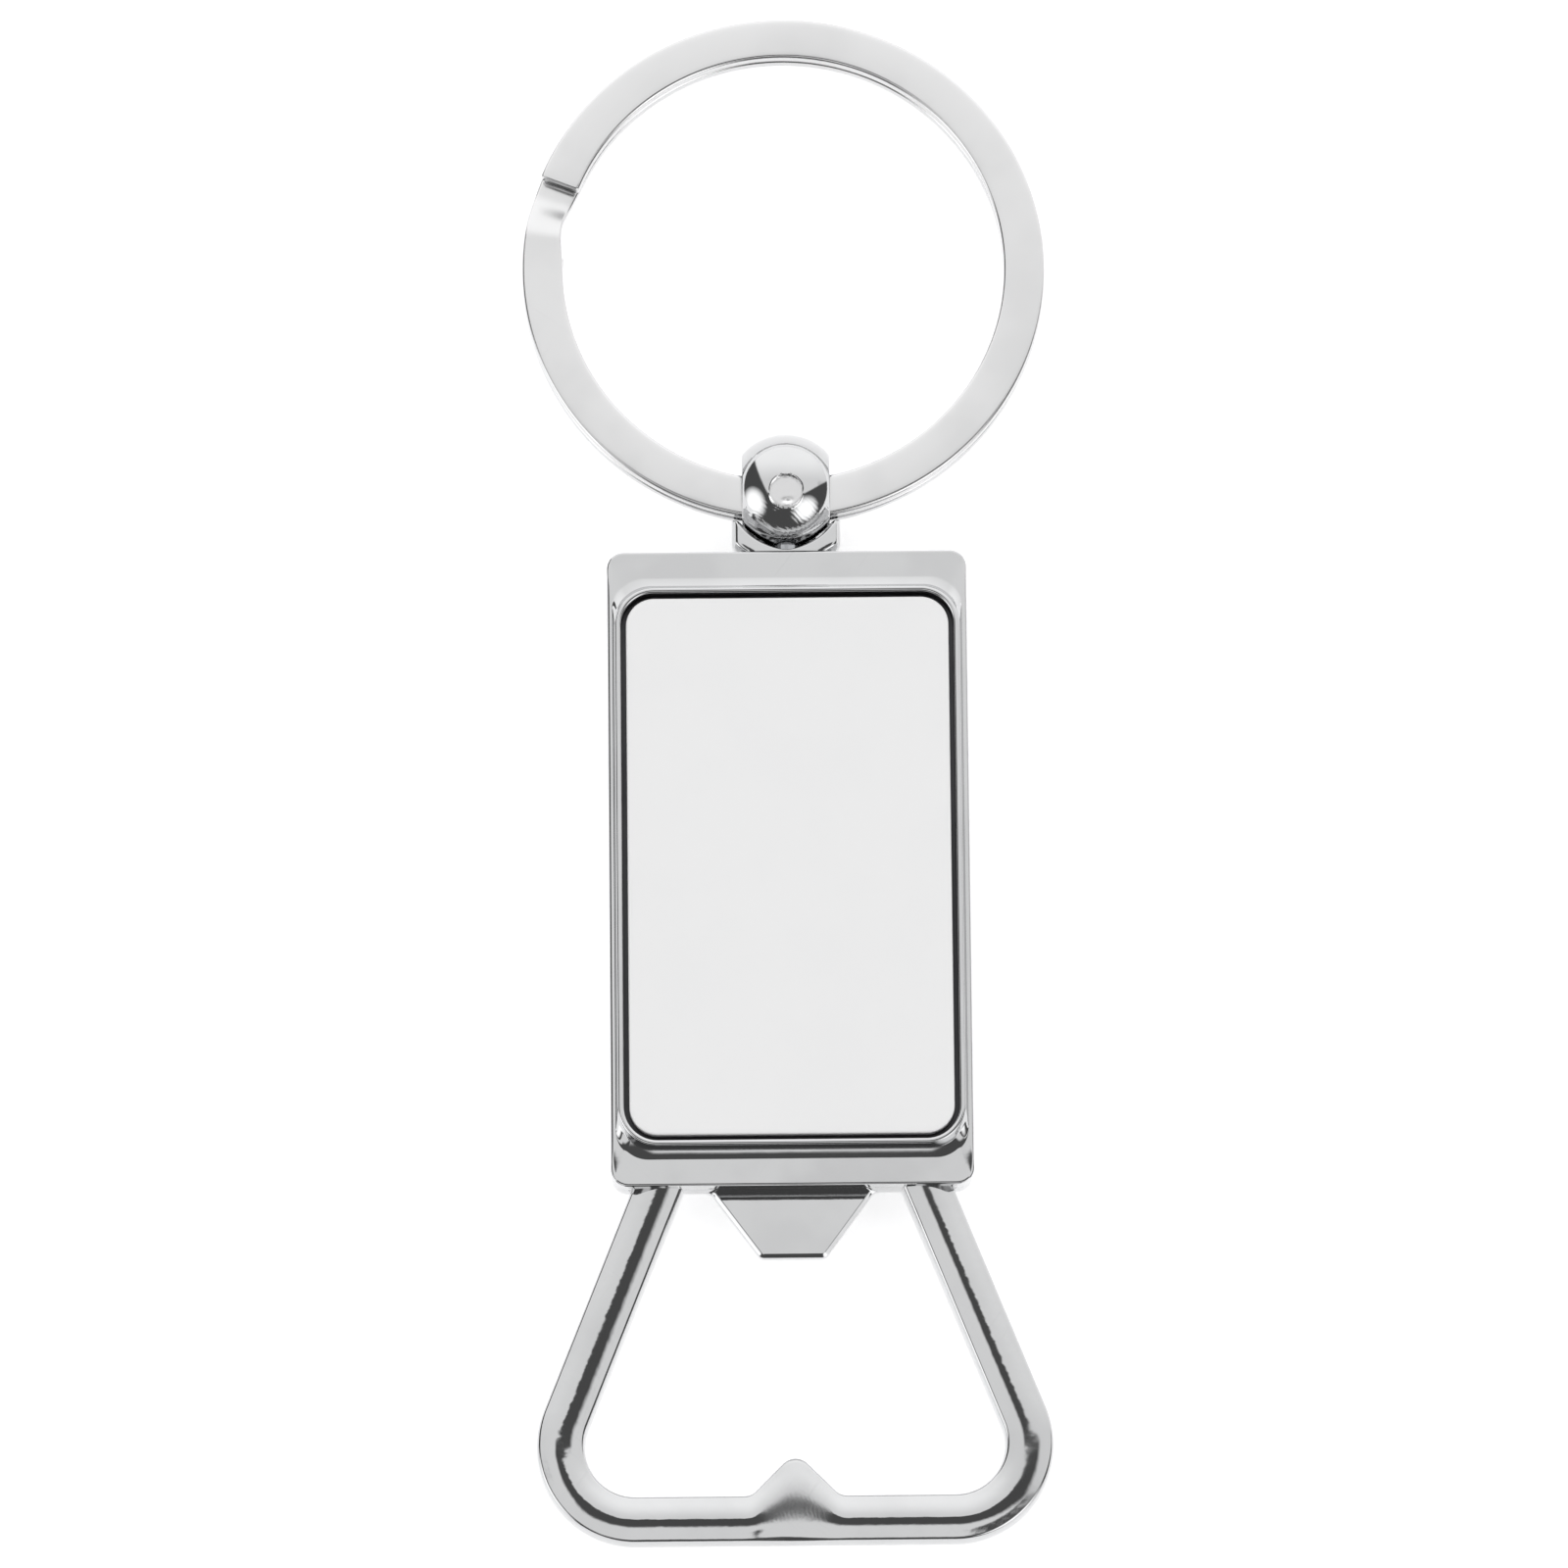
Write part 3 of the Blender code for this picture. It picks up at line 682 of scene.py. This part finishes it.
def toothReach(spec, x):
    # how far the tooth stands out of the bar at x: a tip circle, a straight flank, a hollow foot circle
    x = np.abs(x)
    slope = math.radians(spec["toothHalfAngle"])
    tip, foot, top = spec["toothTipRadius"], spec["toothFootRadius"], spec["toothHeight"]
    flankX = tip * math.cos(slope)
    flankY = top - tip + tip * math.sin(slope)
    footY = foot - foot * math.sin(slope)
    footX = flankX + (flankY - footY) * math.tan(slope)
    endX = footX + foot * math.cos(slope)
    onTip = top - tip + np.sqrt(np.maximum(tip**2 - np.minimum(x, tip) ** 2, 0))
    onFlank = flankY - (x - flankX) / math.tan(slope)
    onFoot = foot - np.sqrt(np.maximum(foot**2 - (endX - np.clip(x, footX, endX)) ** 2, 0))
    return np.where(x < flankX, onTip, np.where(x < footX, onFlank, np.where(x < endX, onFoot, 0.0)))


def loopPath(spec, body):
    # centre line from the right root down the arm, round the bend and along the bar, then mirrored;
    # gives points, across directions that point out of the loop, and directions of travel
    splay = math.radians(spec["splay"])
    down = np.array([math.sin(splay), -math.cos(splay)])
    root = np.array([spec["rootSpacing"] / 2, -body["halfLength"]])
    barY = -body["halfLength"] - spec["reach"] + spec["width"] / 2
    cornerX = root[0] + (root[1] - barY) * math.tan(splay)
    inside = math.pi / 2 - splay
    middle = np.array([cornerX - spec["bendRadius"] / math.tan(inside / 2), barY + spec["bendRadius"]])
    bendAngle = np.linspace(splay, -math.pi / 2, 49)
    bendOut = np.stack([np.cos(bendAngle), np.sin(bendAngle)], axis=1)
    bend = middle + spec["bendRadius"] * bendOut
    armShare = np.linspace(0, 1, 40)[:-1, None]
    arm = root + (bend[0] - root) * armShare
    armOut = np.repeat([[math.cos(splay), math.sin(splay)]], len(arm), axis=0)
    barX = np.linspace(bend[-1, 0], 0, 110)[1:]
    bar = np.stack([barX, np.full(len(barX), barY)], axis=1)
    barOut = np.repeat([[0.0, -1.0]], len(bar), axis=0)
    points = np.concatenate([arm, bend, bar])
    outs = np.concatenate([armOut, bendOut, barOut])
    flip = np.array([-1.0, 1.0])
    points = np.concatenate([points, (points * flip)[::-1][1:]])
    outs = np.concatenate([outs, (outs * flip)[::-1][1:]])
    return points, outs, down


def crownShape(spec, t):
    # fall of the crown from its ridge (0) to the edge of its flank (1) at share t of the half width: the
    # running sum of a slope that is nil at the ridge, steady on the flank and steep at the rounded edge
    fine = np.linspace(0, 1, 400)
    bend = np.clip(fine / spec["flankStart"], 0, 1)
    edge = np.clip((fine - spec["edgeStart"]) / (1 - spec["edgeStart"]), 0, 1)
    slope = (1 + spec["flankCurve"]) * bend - spec["flankCurve"] * bend**3 + spec["edgeRound"] * edge**2
    fall = np.concatenate([[0.0], np.cumsum((slope[1:] + slope[:-1]) / 2)])
    return np.interp(t, fine, fall / fall[-1])


def makeLoop(spec, body):
    # a section carried along the path: flat back with eased edges, leaning sides and a crown with two
    # flanks that meet in a rounded ridge; the tooth widens the inner half of the section
    points, outs, down = loopPath(spec, body)
    outer = spec["width"] / 2
    onBar = smoothStep(-0.999, -1.0, outs[:, 1])
    reach = toothReach(spec, points[:, 0]) * onBar
    inner = outer + reach
    ridge = -spec["toothLean"] * reach
    rootY, barY = points[0, 1], points[:, 1].min()
    along = np.clip((rootY - points[:, 1]) / (rootY - barY), 0, 1)
    top = (spec["rootHeight"] + (spec["barHeight"] - spec["rootHeight"]) * along)[:, None]
    ease, lean = spec["backEase"], spec["lean"]
    turn = np.linspace(0, math.pi / 2, 6)
    rise = np.linspace(0, 1, spec["sideSteps"])[None, :]
    easeIn, easeZ = ease * (1 - np.sin(turn))[None, :], ease * (1 - np.cos(turn))[None, :]
    inward = np.concatenate([easeIn + 0 * top, lean * rise**2 + 0 * top], axis=1)
    foot = ease + spec["sideFoot"]
    t = np.linspace(0, 1, spec["crownSteps"])[1:-1]
    t = 1 - (1 - t) ** 1.35
    flankOut = ridge[:, None] + (outer - lean - ridge)[:, None] * t[::-1]
    flankIn = ridge[:, None] - (inner - lean + ridge)[:, None] * t
    shape = crownShape(spec, t)[None, :]
    wider = [(part / (outer - lean) - 1)[:, None] for part in (outer - lean - ridge, inner - lean + ridge)]
    dropOut, dropIn = [spec["crownDrop"] * (1 + f * v) for f, v in zip(spec["toothFall"], wider)]
    s = np.concatenate([
        outer - inward, flankOut, ridge[:, None], flankIn, -(inner[:, None] - inward[:, ::-1]),
    ], axis=1)
    sideOut = np.concatenate([easeZ + 0 * top, foot + (top - dropOut - foot) * rise], axis=1)
    sideIn = np.concatenate([easeZ + 0 * top, foot + (top - dropIn - foot) * rise], axis=1)
    z = np.concatenate([
        sideOut, top - dropOut * shape[:, ::-1], top, top - dropIn * shape, sideIn[:, ::-1],
    ], axis=1)
    xy = points[:, None, :] + outs[:, None, :] * s[:, :, None]
    wallY = -body["halfLength"] + spec["rootDepth"]
    flip = np.array([-1.0, 1.0])
    run = np.linalg.norm(np.diff(points, axis=0), axis=1)
    fromRight = np.concatenate([[0.0], np.cumsum(run)])
    for end, way, distance in ((0, down, fromRight), (-1, down * flip, fromRight[-1] - fromRight)):
        travel = (wallY - xy[end, :, 1]) / way[1]
        left = np.clip(1 - distance / spec["neck"], 0, 1)
        xy += left[:, None, None] * travel[None, :, None] * way
    grid = np.concatenate([xy, z[:, :, None]], axis=2)
    onTooth = smoothStep(*spec["linesFrom"], reach)[:, None] * smoothStep(*spec["linesTo"], s)
    return skin("openerLoop", grid, sharp=50.0, attributes={"polish": onTooth})


def arcPoints(centre, radius, start, end, count):
    angle = np.linspace(start, end, count)
    return np.stack([centre[0] + radius * np.cos(angle), centre[1] + radius * np.sin(angle)], axis=1)


def makeTab(spec, body):
    # the tongue's outline inset by a bevel: each ring is the outline moved along its own normals
    rootY = -body["halfLength"] + spec["rootDepth"]
    tipY = -body["halfLength"] - spec["length"]
    taper = math.atan2((spec["rootWidth"] - spec["tipWidth"]) / 2, spec["length"])
    tipX = spec["tipWidth"] / 2 - spec["tipRadius"] * math.tan((math.pi / 2 - taper) / 2)
    tip = arcPoints((tipX, tipY + spec["tipRadius"]), spec["tipRadius"], -math.pi / 2, -taper, 10)
    rootX = spec["rootWidth"] / 2 + spec["rootRadius"] * math.tan(math.pi / 4 - taper / 2)
    rootCentre = (rootX, -body["halfLength"] - spec["rootRadius"])
    root = arcPoints(rootCentre, spec["rootRadius"], math.pi - taper, math.pi / 2 + 0.02, 10)
    share = np.linspace(0, 1, 9)[1:-1, None]
    flank = tip[-1] + (root[0] - tip[-1]) * share
    half = np.concatenate([tip, flank, root, [[root[-1, 0] + spec["rootFlare"], rootY]]])
    outline = np.concatenate([half, (half * np.array([-1.0, 1.0]))[::-1]])
    ahead = np.roll(outline, -1, 0) - outline
    behind = outline - np.roll(outline, 1, 0)
    tangent = sum(part / np.linalg.norm(part, axis=1, keepdims=True) for part in (ahead, behind))
    normal = np.stack([tangent[:, 1], -tangent[:, 0]], axis=1)
    normal /= np.linalg.norm(normal, axis=1, keepdims=True)
    normal[outline[:, 1] > rootY - 0.001 * mm] = (0.0, -1.0)
    top, bevel, drop = spec["thickness"], spec["bevel"], spec["bevelDrop"]
    inset = np.concatenate([spec["footInset"], spec["brimInset"], bevel * np.array(spec["bevelInset"])])
    brim = top - drop + np.array(spec["brimHeight"])
    height = np.concatenate([spec["footHeight"], brim, top - drop * np.array(spec["bevelFall"])])
    rings = lifted(outline[None] - normal[None] * inset[:, None, None], height)
    for cap in (rings[0], rings[-1]):
        # the first and last rings keep within the straight flanks, so that the face closes flat
        first, last = cap[len(tip)], cap[len(tip) + len(flank) - 1]
        limit = first[0] + (last[0] - first[0]) / (last[1] - first[1]) * (cap[:, 1] - first[1])
        cap[:, 0] = np.clip(cap[:, 0], -limit, limit)
    outwards = (rootY - rings[:, :, 1]) / spec["length"]
    rings[:, :, 2] += spec["tipRise"] * (outwards - 1) * smoothStep(*spec["riseFrom"], rings[:, :, 2])
    return skin("pryTab", rings, sharp=14.0)


plateSpec = {
    "edge": 0.10 * mm,
    "cornerRadius": 1.6 * mm,
    "leastRadius": 0.2 * mm,
    "faceRings": (3, 9, 30),    # rings across the face, in edge radii from its rim
    "colour": (0.955, 0.955, 0.956),
    "cloud": (0.93, 0.931, 0.934),
    "cloudScale": 240.0,
    "cloudShare": 0.35,
    "grain": {
        "Ripple_Scale": 2500.0, "Ripple_Depth": 6.0e-7, "Pebble_Scale": 9000.0, "Pebble_Depth": 4.0e-7,
    },
    "grainStrength": 0.7,
    "roughness": (0.38, 0.47),
    "coat": 0.25,
    "coatRoughness": 0.25,
}


def makePlate(spec):
    # a sheet with rounded edges: rings inset by a quarter circle at the top and the bottom
    low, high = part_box("insert_plate")
    halfX, halfY = high.x, high.y
    edge = spec["edge"]
    turn = np.linspace(0, math.pi / 2, 7)
    bulge, fall = edge * (1 - np.sin(turn)), edge * (1 - np.cos(turn))
    face = edge * np.array(spec["faceRings"])
    inset = np.concatenate([[6 * edge], bulge, fall, face])
    height = np.concatenate([[low.z], low.z + fall, high.z - bulge, high.z + 0 * face])
    radius = np.maximum(spec["cornerRadius"] - inset, spec["leastRadius"])
    return skin("coverPlate", lifted(roundedRings(halfX - inset, halfY - inset, radius), height))


def plateMaterial(spec):
    # white satin coat on aluminium: a faint cloud in the colour, a fine speckle in bump and roughness
    material = bpy.data.materials.new("whiteSatinCoat")
    material.use_nodes = True
    w = Wiring(material.node_tree)
    shader = material.node_tree.nodes["Principled BSDF"]
    place = w.add("ShaderNodeTexCoord").outputs["Object"]
    cloud = useGroup(w, handling, Vector=place, Scale=spec["cloudScale"])
    grain = useGroup(w, castRipple, Vector=place, **spec["grain"])
    clouded = w.maths("MULTIPLY", cloud.outputs["Mask"], spec["cloudShare"])
    bump = w.add("ShaderNodeBump", {
        "Strength": spec["grainStrength"], "Distance": 1.0, "Height": grain.outputs["Height"],
    })
    w.put(shader.inputs["Base Color"], mixColour(w, clouded, spec["colour"], spec["cloud"]))
    w.put(shader.inputs["Roughness"], w.ramp(grain.outputs["Mask"], 0.35, 0.65, *spec["roughness"]))
    w.put(shader.inputs["Normal"], bump.outputs["Normal"])
    shader.inputs["Coat Weight"].default_value = spec["coat"]
    shader.inputs["Coat Roughness"].default_value = spec["coatRoughness"]
    return material


ballSpec = {
    "radius": 3.33 * mm,
    "holeRadius": 2.0 * mm,
    "lip": 0.14 * mm,
    "markTilt": 12.0,           # of the press mark's middle from the face's normal
    "markRadius": 0.95 * mm,
    "markLean": 10.0,           # its flat leans back towards the ring by this much
    "markSoft": 0.05 * mm,
    "nickOffset": (0.08 * mm, -0.52 * mm, 0.0),
    "nickSize": (0.20 * mm, 0.08 * mm, 0.5 * mm),
    "nickDepth": 0.10 * mm,
    "linesFrom": (-0.9 * mm, -1.8 * mm),     # polishing lines set in over this stretch below the middle
}

collarSpec = {
    "rimRadius": 3.1 * mm,
    "footRadius": 2.55 * mm,
    "footHeight": 0.55 * mm,
    "height": 2.0 * mm,
    "halfThickness": 1.18 * mm,
    "dishClearance": 0.1 * mm,
    "dishFloor": 0.05 * mm,
    "ease": 0.08 * mm,
    "squareness": 14.0,         # how sharply the flats in front and behind cut off the round wall
    "saddle": 0.9,              # how much lower the rim lies in front and behind than at the sides
    "bodyEnd": 18.33 * mm,
    "hole": 0.85 * mm,
}


def makeBall(spec):
    # a profile revolved about the hole's axis: outer circle, a rounded lip at each end and the bore;
    # within the press mark's radius points move along a leaning direction on to one flat, and the nick
    # in it is depth times a bell of the distance in each direction
    radius, hole, lip = spec["radius"], spec["holeRadius"], spec["lip"]
    lipRho = hole + lip
    lipX = math.sqrt((radius - lip) ** 2 - lipRho**2)
    out = math.atan2(lipRho, lipX)
    outer = np.linspace(out, math.pi - out, 120)
    lipTurn = np.linspace(math.pi - out, 3 * math.pi / 2, 9)[1:]
    x = np.concatenate([radius * np.cos(outer), -lipX + lip * np.cos(lipTurn)])
    rho = np.concatenate([radius * np.sin(outer), lipRho + lip * np.sin(lipTurn)])
    bore = np.linspace(-lipX, lipX, 14)[1:-1]
    x = np.concatenate([x, bore, (lipX - lip * np.cos(lipTurn))[::-1]])
    rho = np.concatenate([rho, np.full(len(bore), hole), (lipRho + lip * np.sin(lipTurn))[::-1]])
    around = np.linspace(0, 2 * math.pi, 256, endpoint=False)[:, None]
    grid = np.stack([x + 0 * around, rho * np.cos(around), rho * np.sin(around)], axis=2)
    tilt, lean = math.radians(spec["markTilt"]), math.radians(spec["markTilt"] - spec["markLean"])
    markWay = np.array([0.0, -math.sin(tilt), math.cos(tilt)])
    flatWay = np.array([0.0, -math.sin(lean), math.cos(lean)])
    middle = markWay * radius * math.cos(math.asin(spec["markRadius"] / radius))
    proud = (grid - middle) @ flatWay
    distance = np.linalg.norm(np.cross(grid, markWay), axis=2)
    rim, soft = spec["markRadius"], spec["markSoft"]
    onMark = smoothStep(rim + soft, rim - soft, distance)
    onMark = onMark * (grid @ markWay > hole + lip)     # on the outside only, not in the bore
    grid = grid - (onMark * proud)[:, :, None] * flatWay
    nickAt = middle + np.array(spec["nickOffset"])
    nick = np.exp(-(((grid - nickAt) / np.array(spec["nickSize"])) ** 2).sum(axis=2))
    grid = grid - spec["nickDepth"] * nick[:, :, None] * flatWay
    lower = smoothStep(*spec["linesFrom"], grid[:, :, 1]) * (1 - onMark)
    return skin("drilledBall", grid + swivelAt, ring=True, attributes={"mark": onMark, "polish": lower})


def makeCollar(spec, ball):
    # for each angle round Y: a foot cone and a straight wall, cut flat in front and behind, up to where
    # they meet the dish, which is a sphere about the ball's centre; the middle is open for the pin
    dish = ball["radius"] + spec["dishClearance"]
    around = np.linspace(0, 2 * math.pi, 192, endpoint=False)[:, None]
    flat = spec["halfThickness"] / np.maximum(np.abs(np.sin(around)), 1e-6)
    centreY = swivelAt[1] - spec["bodyEnd"]
    ease, power = spec["ease"], spec["squareness"]

    def softFlat(wide):
        return (wide**-power + flat**-power) ** (-1 / power)

    def dishHeight(rho):
        return centreY - np.sqrt(np.maximum(dish**2 - rho**2, 0))

    rim = softFlat(np.full_like(around, spec["rimRadius"]))
    top = np.minimum(spec["height"], dishHeight(rim - ease)) - ease
    top = top * (1 - spec["saddle"] * np.sin(around) ** 2)
    heights = np.linspace(0, 1, 12)[None, :] * top
    flare = np.sin(np.clip(heights / spec["footHeight"], 0, 1) * math.pi / 2)
    outside = softFlat(spec["footRadius"] + (spec["rimRadius"] - spec["footRadius"]) * flare)
    turn = np.linspace(0, math.pi / 2, 5)[1:]
    lipRho = outside[:, -1:] - ease * (1 - np.cos(turn))
    lipY = top + ease * np.sin(turn)
    innerRho = lipRho[:, -1:] + (spec["hole"] - lipRho[:, -1:]) * np.linspace(0, 1, 26)[1:]
    innerY = np.clip(dishHeight(innerRho), spec["dishFloor"], lipY[:, -1:])
    rho = np.concatenate([np.full_like(around, spec["hole"]), outside, lipRho, innerRho], axis=1)
    y = spec["bodyEnd"] + np.concatenate([0 * around, heights, lipY, innerY], axis=1)
    grid = np.stack([rho * np.cos(around), y, rho * np.sin(around) + swivelAt[2]], axis=2)
    return skin("ballSeat", grid.transpose(1, 0, 2), ring=True)


ringSpec = {
    "outerRadius": 15.0 * mm,
    "band": 2.36 * mm,
    "turn": 0.80 * mm,
    "gap": 0.12 * mm,
    "edge": 0.20 * mm,
    "faceCrown": 0.03 * mm,
    "droop": 3.0,
    "hang": 0.62 * mm,
    "frontEnd": 158.0,
    "jogStart": 161.0,
    "jogEnd": 172.0,
    "backEnd": 175.5,
    "pinch": 0.30 * mm,         # the inner edge is drawn out by this much beside the front end
    "pinchAt": 168.0,
    "pinchWidth": 7.0,
    "stations": 900,
    "endStations": (0.0, 0.06, 0.2, 0.5),    # degrees from each cut end, and the section's size there
    "endTaper": (0.90, 0.955, 0.985, 1.0),
}


def makeRing(spec):
    # a rounded-rectangle section swept twice round: its height goes from one layer to the other on a
    # cosine between the jog angles, the last stations draw in to ease the cut ends, and the whole ring
    # droops about the ball's middle
    half, thick, edge = spec["band"] / 2, spec["turn"] / 2, spec["edge"]
    middle = spec["outerRadius"] - half
    start = math.radians(spec["backEnd"]) - 2 * math.pi
    end = math.radians(spec["frontEnd"]) + 2 * math.pi
    ends = np.radians(spec["endStations"])
    angle = np.linspace(start, end, spec["stations"])[3:-3]
    taper = np.concatenate([spec["endTaper"], np.ones(len(angle)), spec["endTaper"][::-1]])
    angle = np.concatenate([start + ends, angle, end - ends[::-1]])
    jogStart, jogEnd = np.radians([spec["jogStart"], spec["jogEnd"]])
    share = np.clip((angle - jogStart) / (jogEnd - jogStart), 0, 1)
    layer = (spec["turn"] + spec["gap"]) / 2
    lift = -layer * np.cos(math.pi * share)
    quarter = np.linspace(0, math.pi / 2, 7)
    corners = []
    for number, (signX, signZ) in enumerate(((1, 1), (-1, 1), (-1, -1), (1, -1))):
        turned = quarter + number * math.pi / 2
        x = signX * (half - edge) + edge * np.cos(turned)
        z = signZ * (thick - edge) + edge * np.sin(turned)
        corners.append(np.stack([x, z], axis=1))
    runs = []
    for here, there in zip(corners, corners[1:] + corners[:1]):
        runs += [here, here[-1] + (there[0] - here[-1]) * np.linspace(0, 1, 9)[1:-1, None]]
    section = np.concatenate(runs)
    crown = spec["faceCrown"] * (section[:, 0] / half) ** 2
    section[:, 1] -= np.sign(section[:, 1]) * crown * (np.abs(section[:, 1]) > thick - edge)
    fromPinch = (np.degrees(angle) - spec["pinchAt"]) / spec["pinchWidth"]
    pinch = spec["pinch"] * np.exp(-(fromPinch**2))[:, None]
    radius = middle + section[None, :, 0] * taper[:, None] + pinch * (0.5 - section[None, :, 0] / half / 2)
    z = lift[:, None] + section[None, :, 1] * taper[:, None]
    grid = np.stack([radius * np.cos(angle)[:, None], radius * np.sin(angle)[:, None], z], axis=2)
    grid[:, :, 1] += middle - spec["hang"]
    droop = -math.radians(spec["droop"])
    y, z = grid[:, :, 1].copy(), grid[:, :, 2].copy()
    grid[:, :, 1] = y * math.cos(droop) - z * math.sin(droop)
    grid[:, :, 2] = y * math.sin(droop) + z * math.cos(droop)
    return skin("splitRing", grid + swivelAt, sharp=50.0)


ringFinish = dict(
    chromeSpec, colour=(0.66, 0.66, 0.663), wornColour=(0.61, 0.61, 0.614), roughness=0.14, dulled=0.24,
)
toothFinish = dict(chromeSpec, lineWay=(1.0, 0.12, 0.0), lines=26000.0, lineDepth=1.2e-6, polishRough=0.20)

bodyChrome = chromeMaterial(
    "bodyChrome", chromeSpec,
    Ripple_Scale=900.0, Ripple_Depth=4.0e-6, Pebble_Scale=5200.0, Pebble_Depth=5.0e-7,
)
loopChrome = chromeMaterial(
    "loopChrome", toothFinish,
    Ripple_Scale=1500.0, Ripple_Depth=7.0e-6, Pebble_Scale=5200.0, Pebble_Depth=9.0e-7,
)
ballChrome = chromeMaterial(
    "ballChrome", chromeSpec,
    Ripple_Scale=1500.0, Ripple_Depth=2.0e-6, Pebble_Scale=7000.0, Pebble_Depth=6.0e-7,
)
ringSteel = chromeMaterial(
    "ringSteel", ringFinish,
    Ripple_Scale=500.0, Ripple_Depth=3.0e-6, Pebble_Scale=6000.0, Pebble_Depth=3.0e-7,
)
print("materials made")

finishPiece(makeBezel(bezelSpec), "opener", "front_bezel", bodyChrome, "front_bezel")
finishPiece(makeBackPlate(backSpec), "opener", "back_casting", bodyChrome, "back_casting")
finishPiece(makeLoop(loopSpec, backSpec), "opener", "back_casting", loopChrome, "back_casting")
finishPiece(makeTab(tabSpec, backSpec), "opener", "back_casting", bodyChrome, "back_casting")
finishPiece(makePlate(plateSpec), "opener", "insert_plate", plateMaterial(plateSpec), "insert_plate")
finishPiece(makeCollar(collarSpec, ballSpec), "opener", "swivel_collar", ballChrome, "swivel_collar")
finishPiece(makeBall(ballSpec), "swivel", "swivel_ball", ballChrome, "swivel_ball")
finishPiece(makeRing(ringSpec), "key_ring", "split_ring", ringSteel, "split_ring")


keptSpec = {
    "swivel_pin": {
        "colour": (0.50, 0.51, 0.53), "marks": (0.38, 0.39, 0.41), "metallic": 1.0, "roughness": 0.3,
    },
    "pin_washer": {
        "colour": (0.70, 0.58, 0.34), "marks": (0.52, 0.41, 0.22), "metallic": 1.0, "roughness": 0.35,
    },
    "adhesive_pad": {
        "colour": (0.62, 0.60, 0.54), "marks": (0.52, 0.50, 0.44), "metallic": 0.0, "roughness": 0.75,
    },
}


def keptMaterial(name, spec):
    # turned metal or film: a handling mask and scratches move the colour and the roughness
    material = bpy.data.materials.new(name + "Finish")
    material.use_nodes = True
    w = Wiring(material.node_tree)
    shader = material.node_tree.nodes["Principled BSDF"]
    place = w.add("ShaderNodeTexCoord").outputs["Object"]
    hands = useGroup(w, handling, Vector=place, Scale=900.0)
    hair = useGroup(w, hairScratches, Vector=place, Scale=500.0, Amount=0.6)
    marks = w.maths("MAXIMUM", hands.outputs["Mask"], hair.outputs["Mask"])
    w.put(shader.inputs["Base Color"], mixColour(w, marks, spec["colour"], spec["marks"]))
    w.put(shader.inputs["Roughness"], w.maths("MULTIPLY_ADD", marks, 0.15, spec["roughness"]))
    shader.inputs["Metallic"].default_value = spec["metallic"]
    return material


for name, spec in keptSpec.items():
    mesh = nodes[name].data
    mesh.materials.clear()
    mesh.materials.append(keptMaterial(name, spec))
print("kept pieces finished")
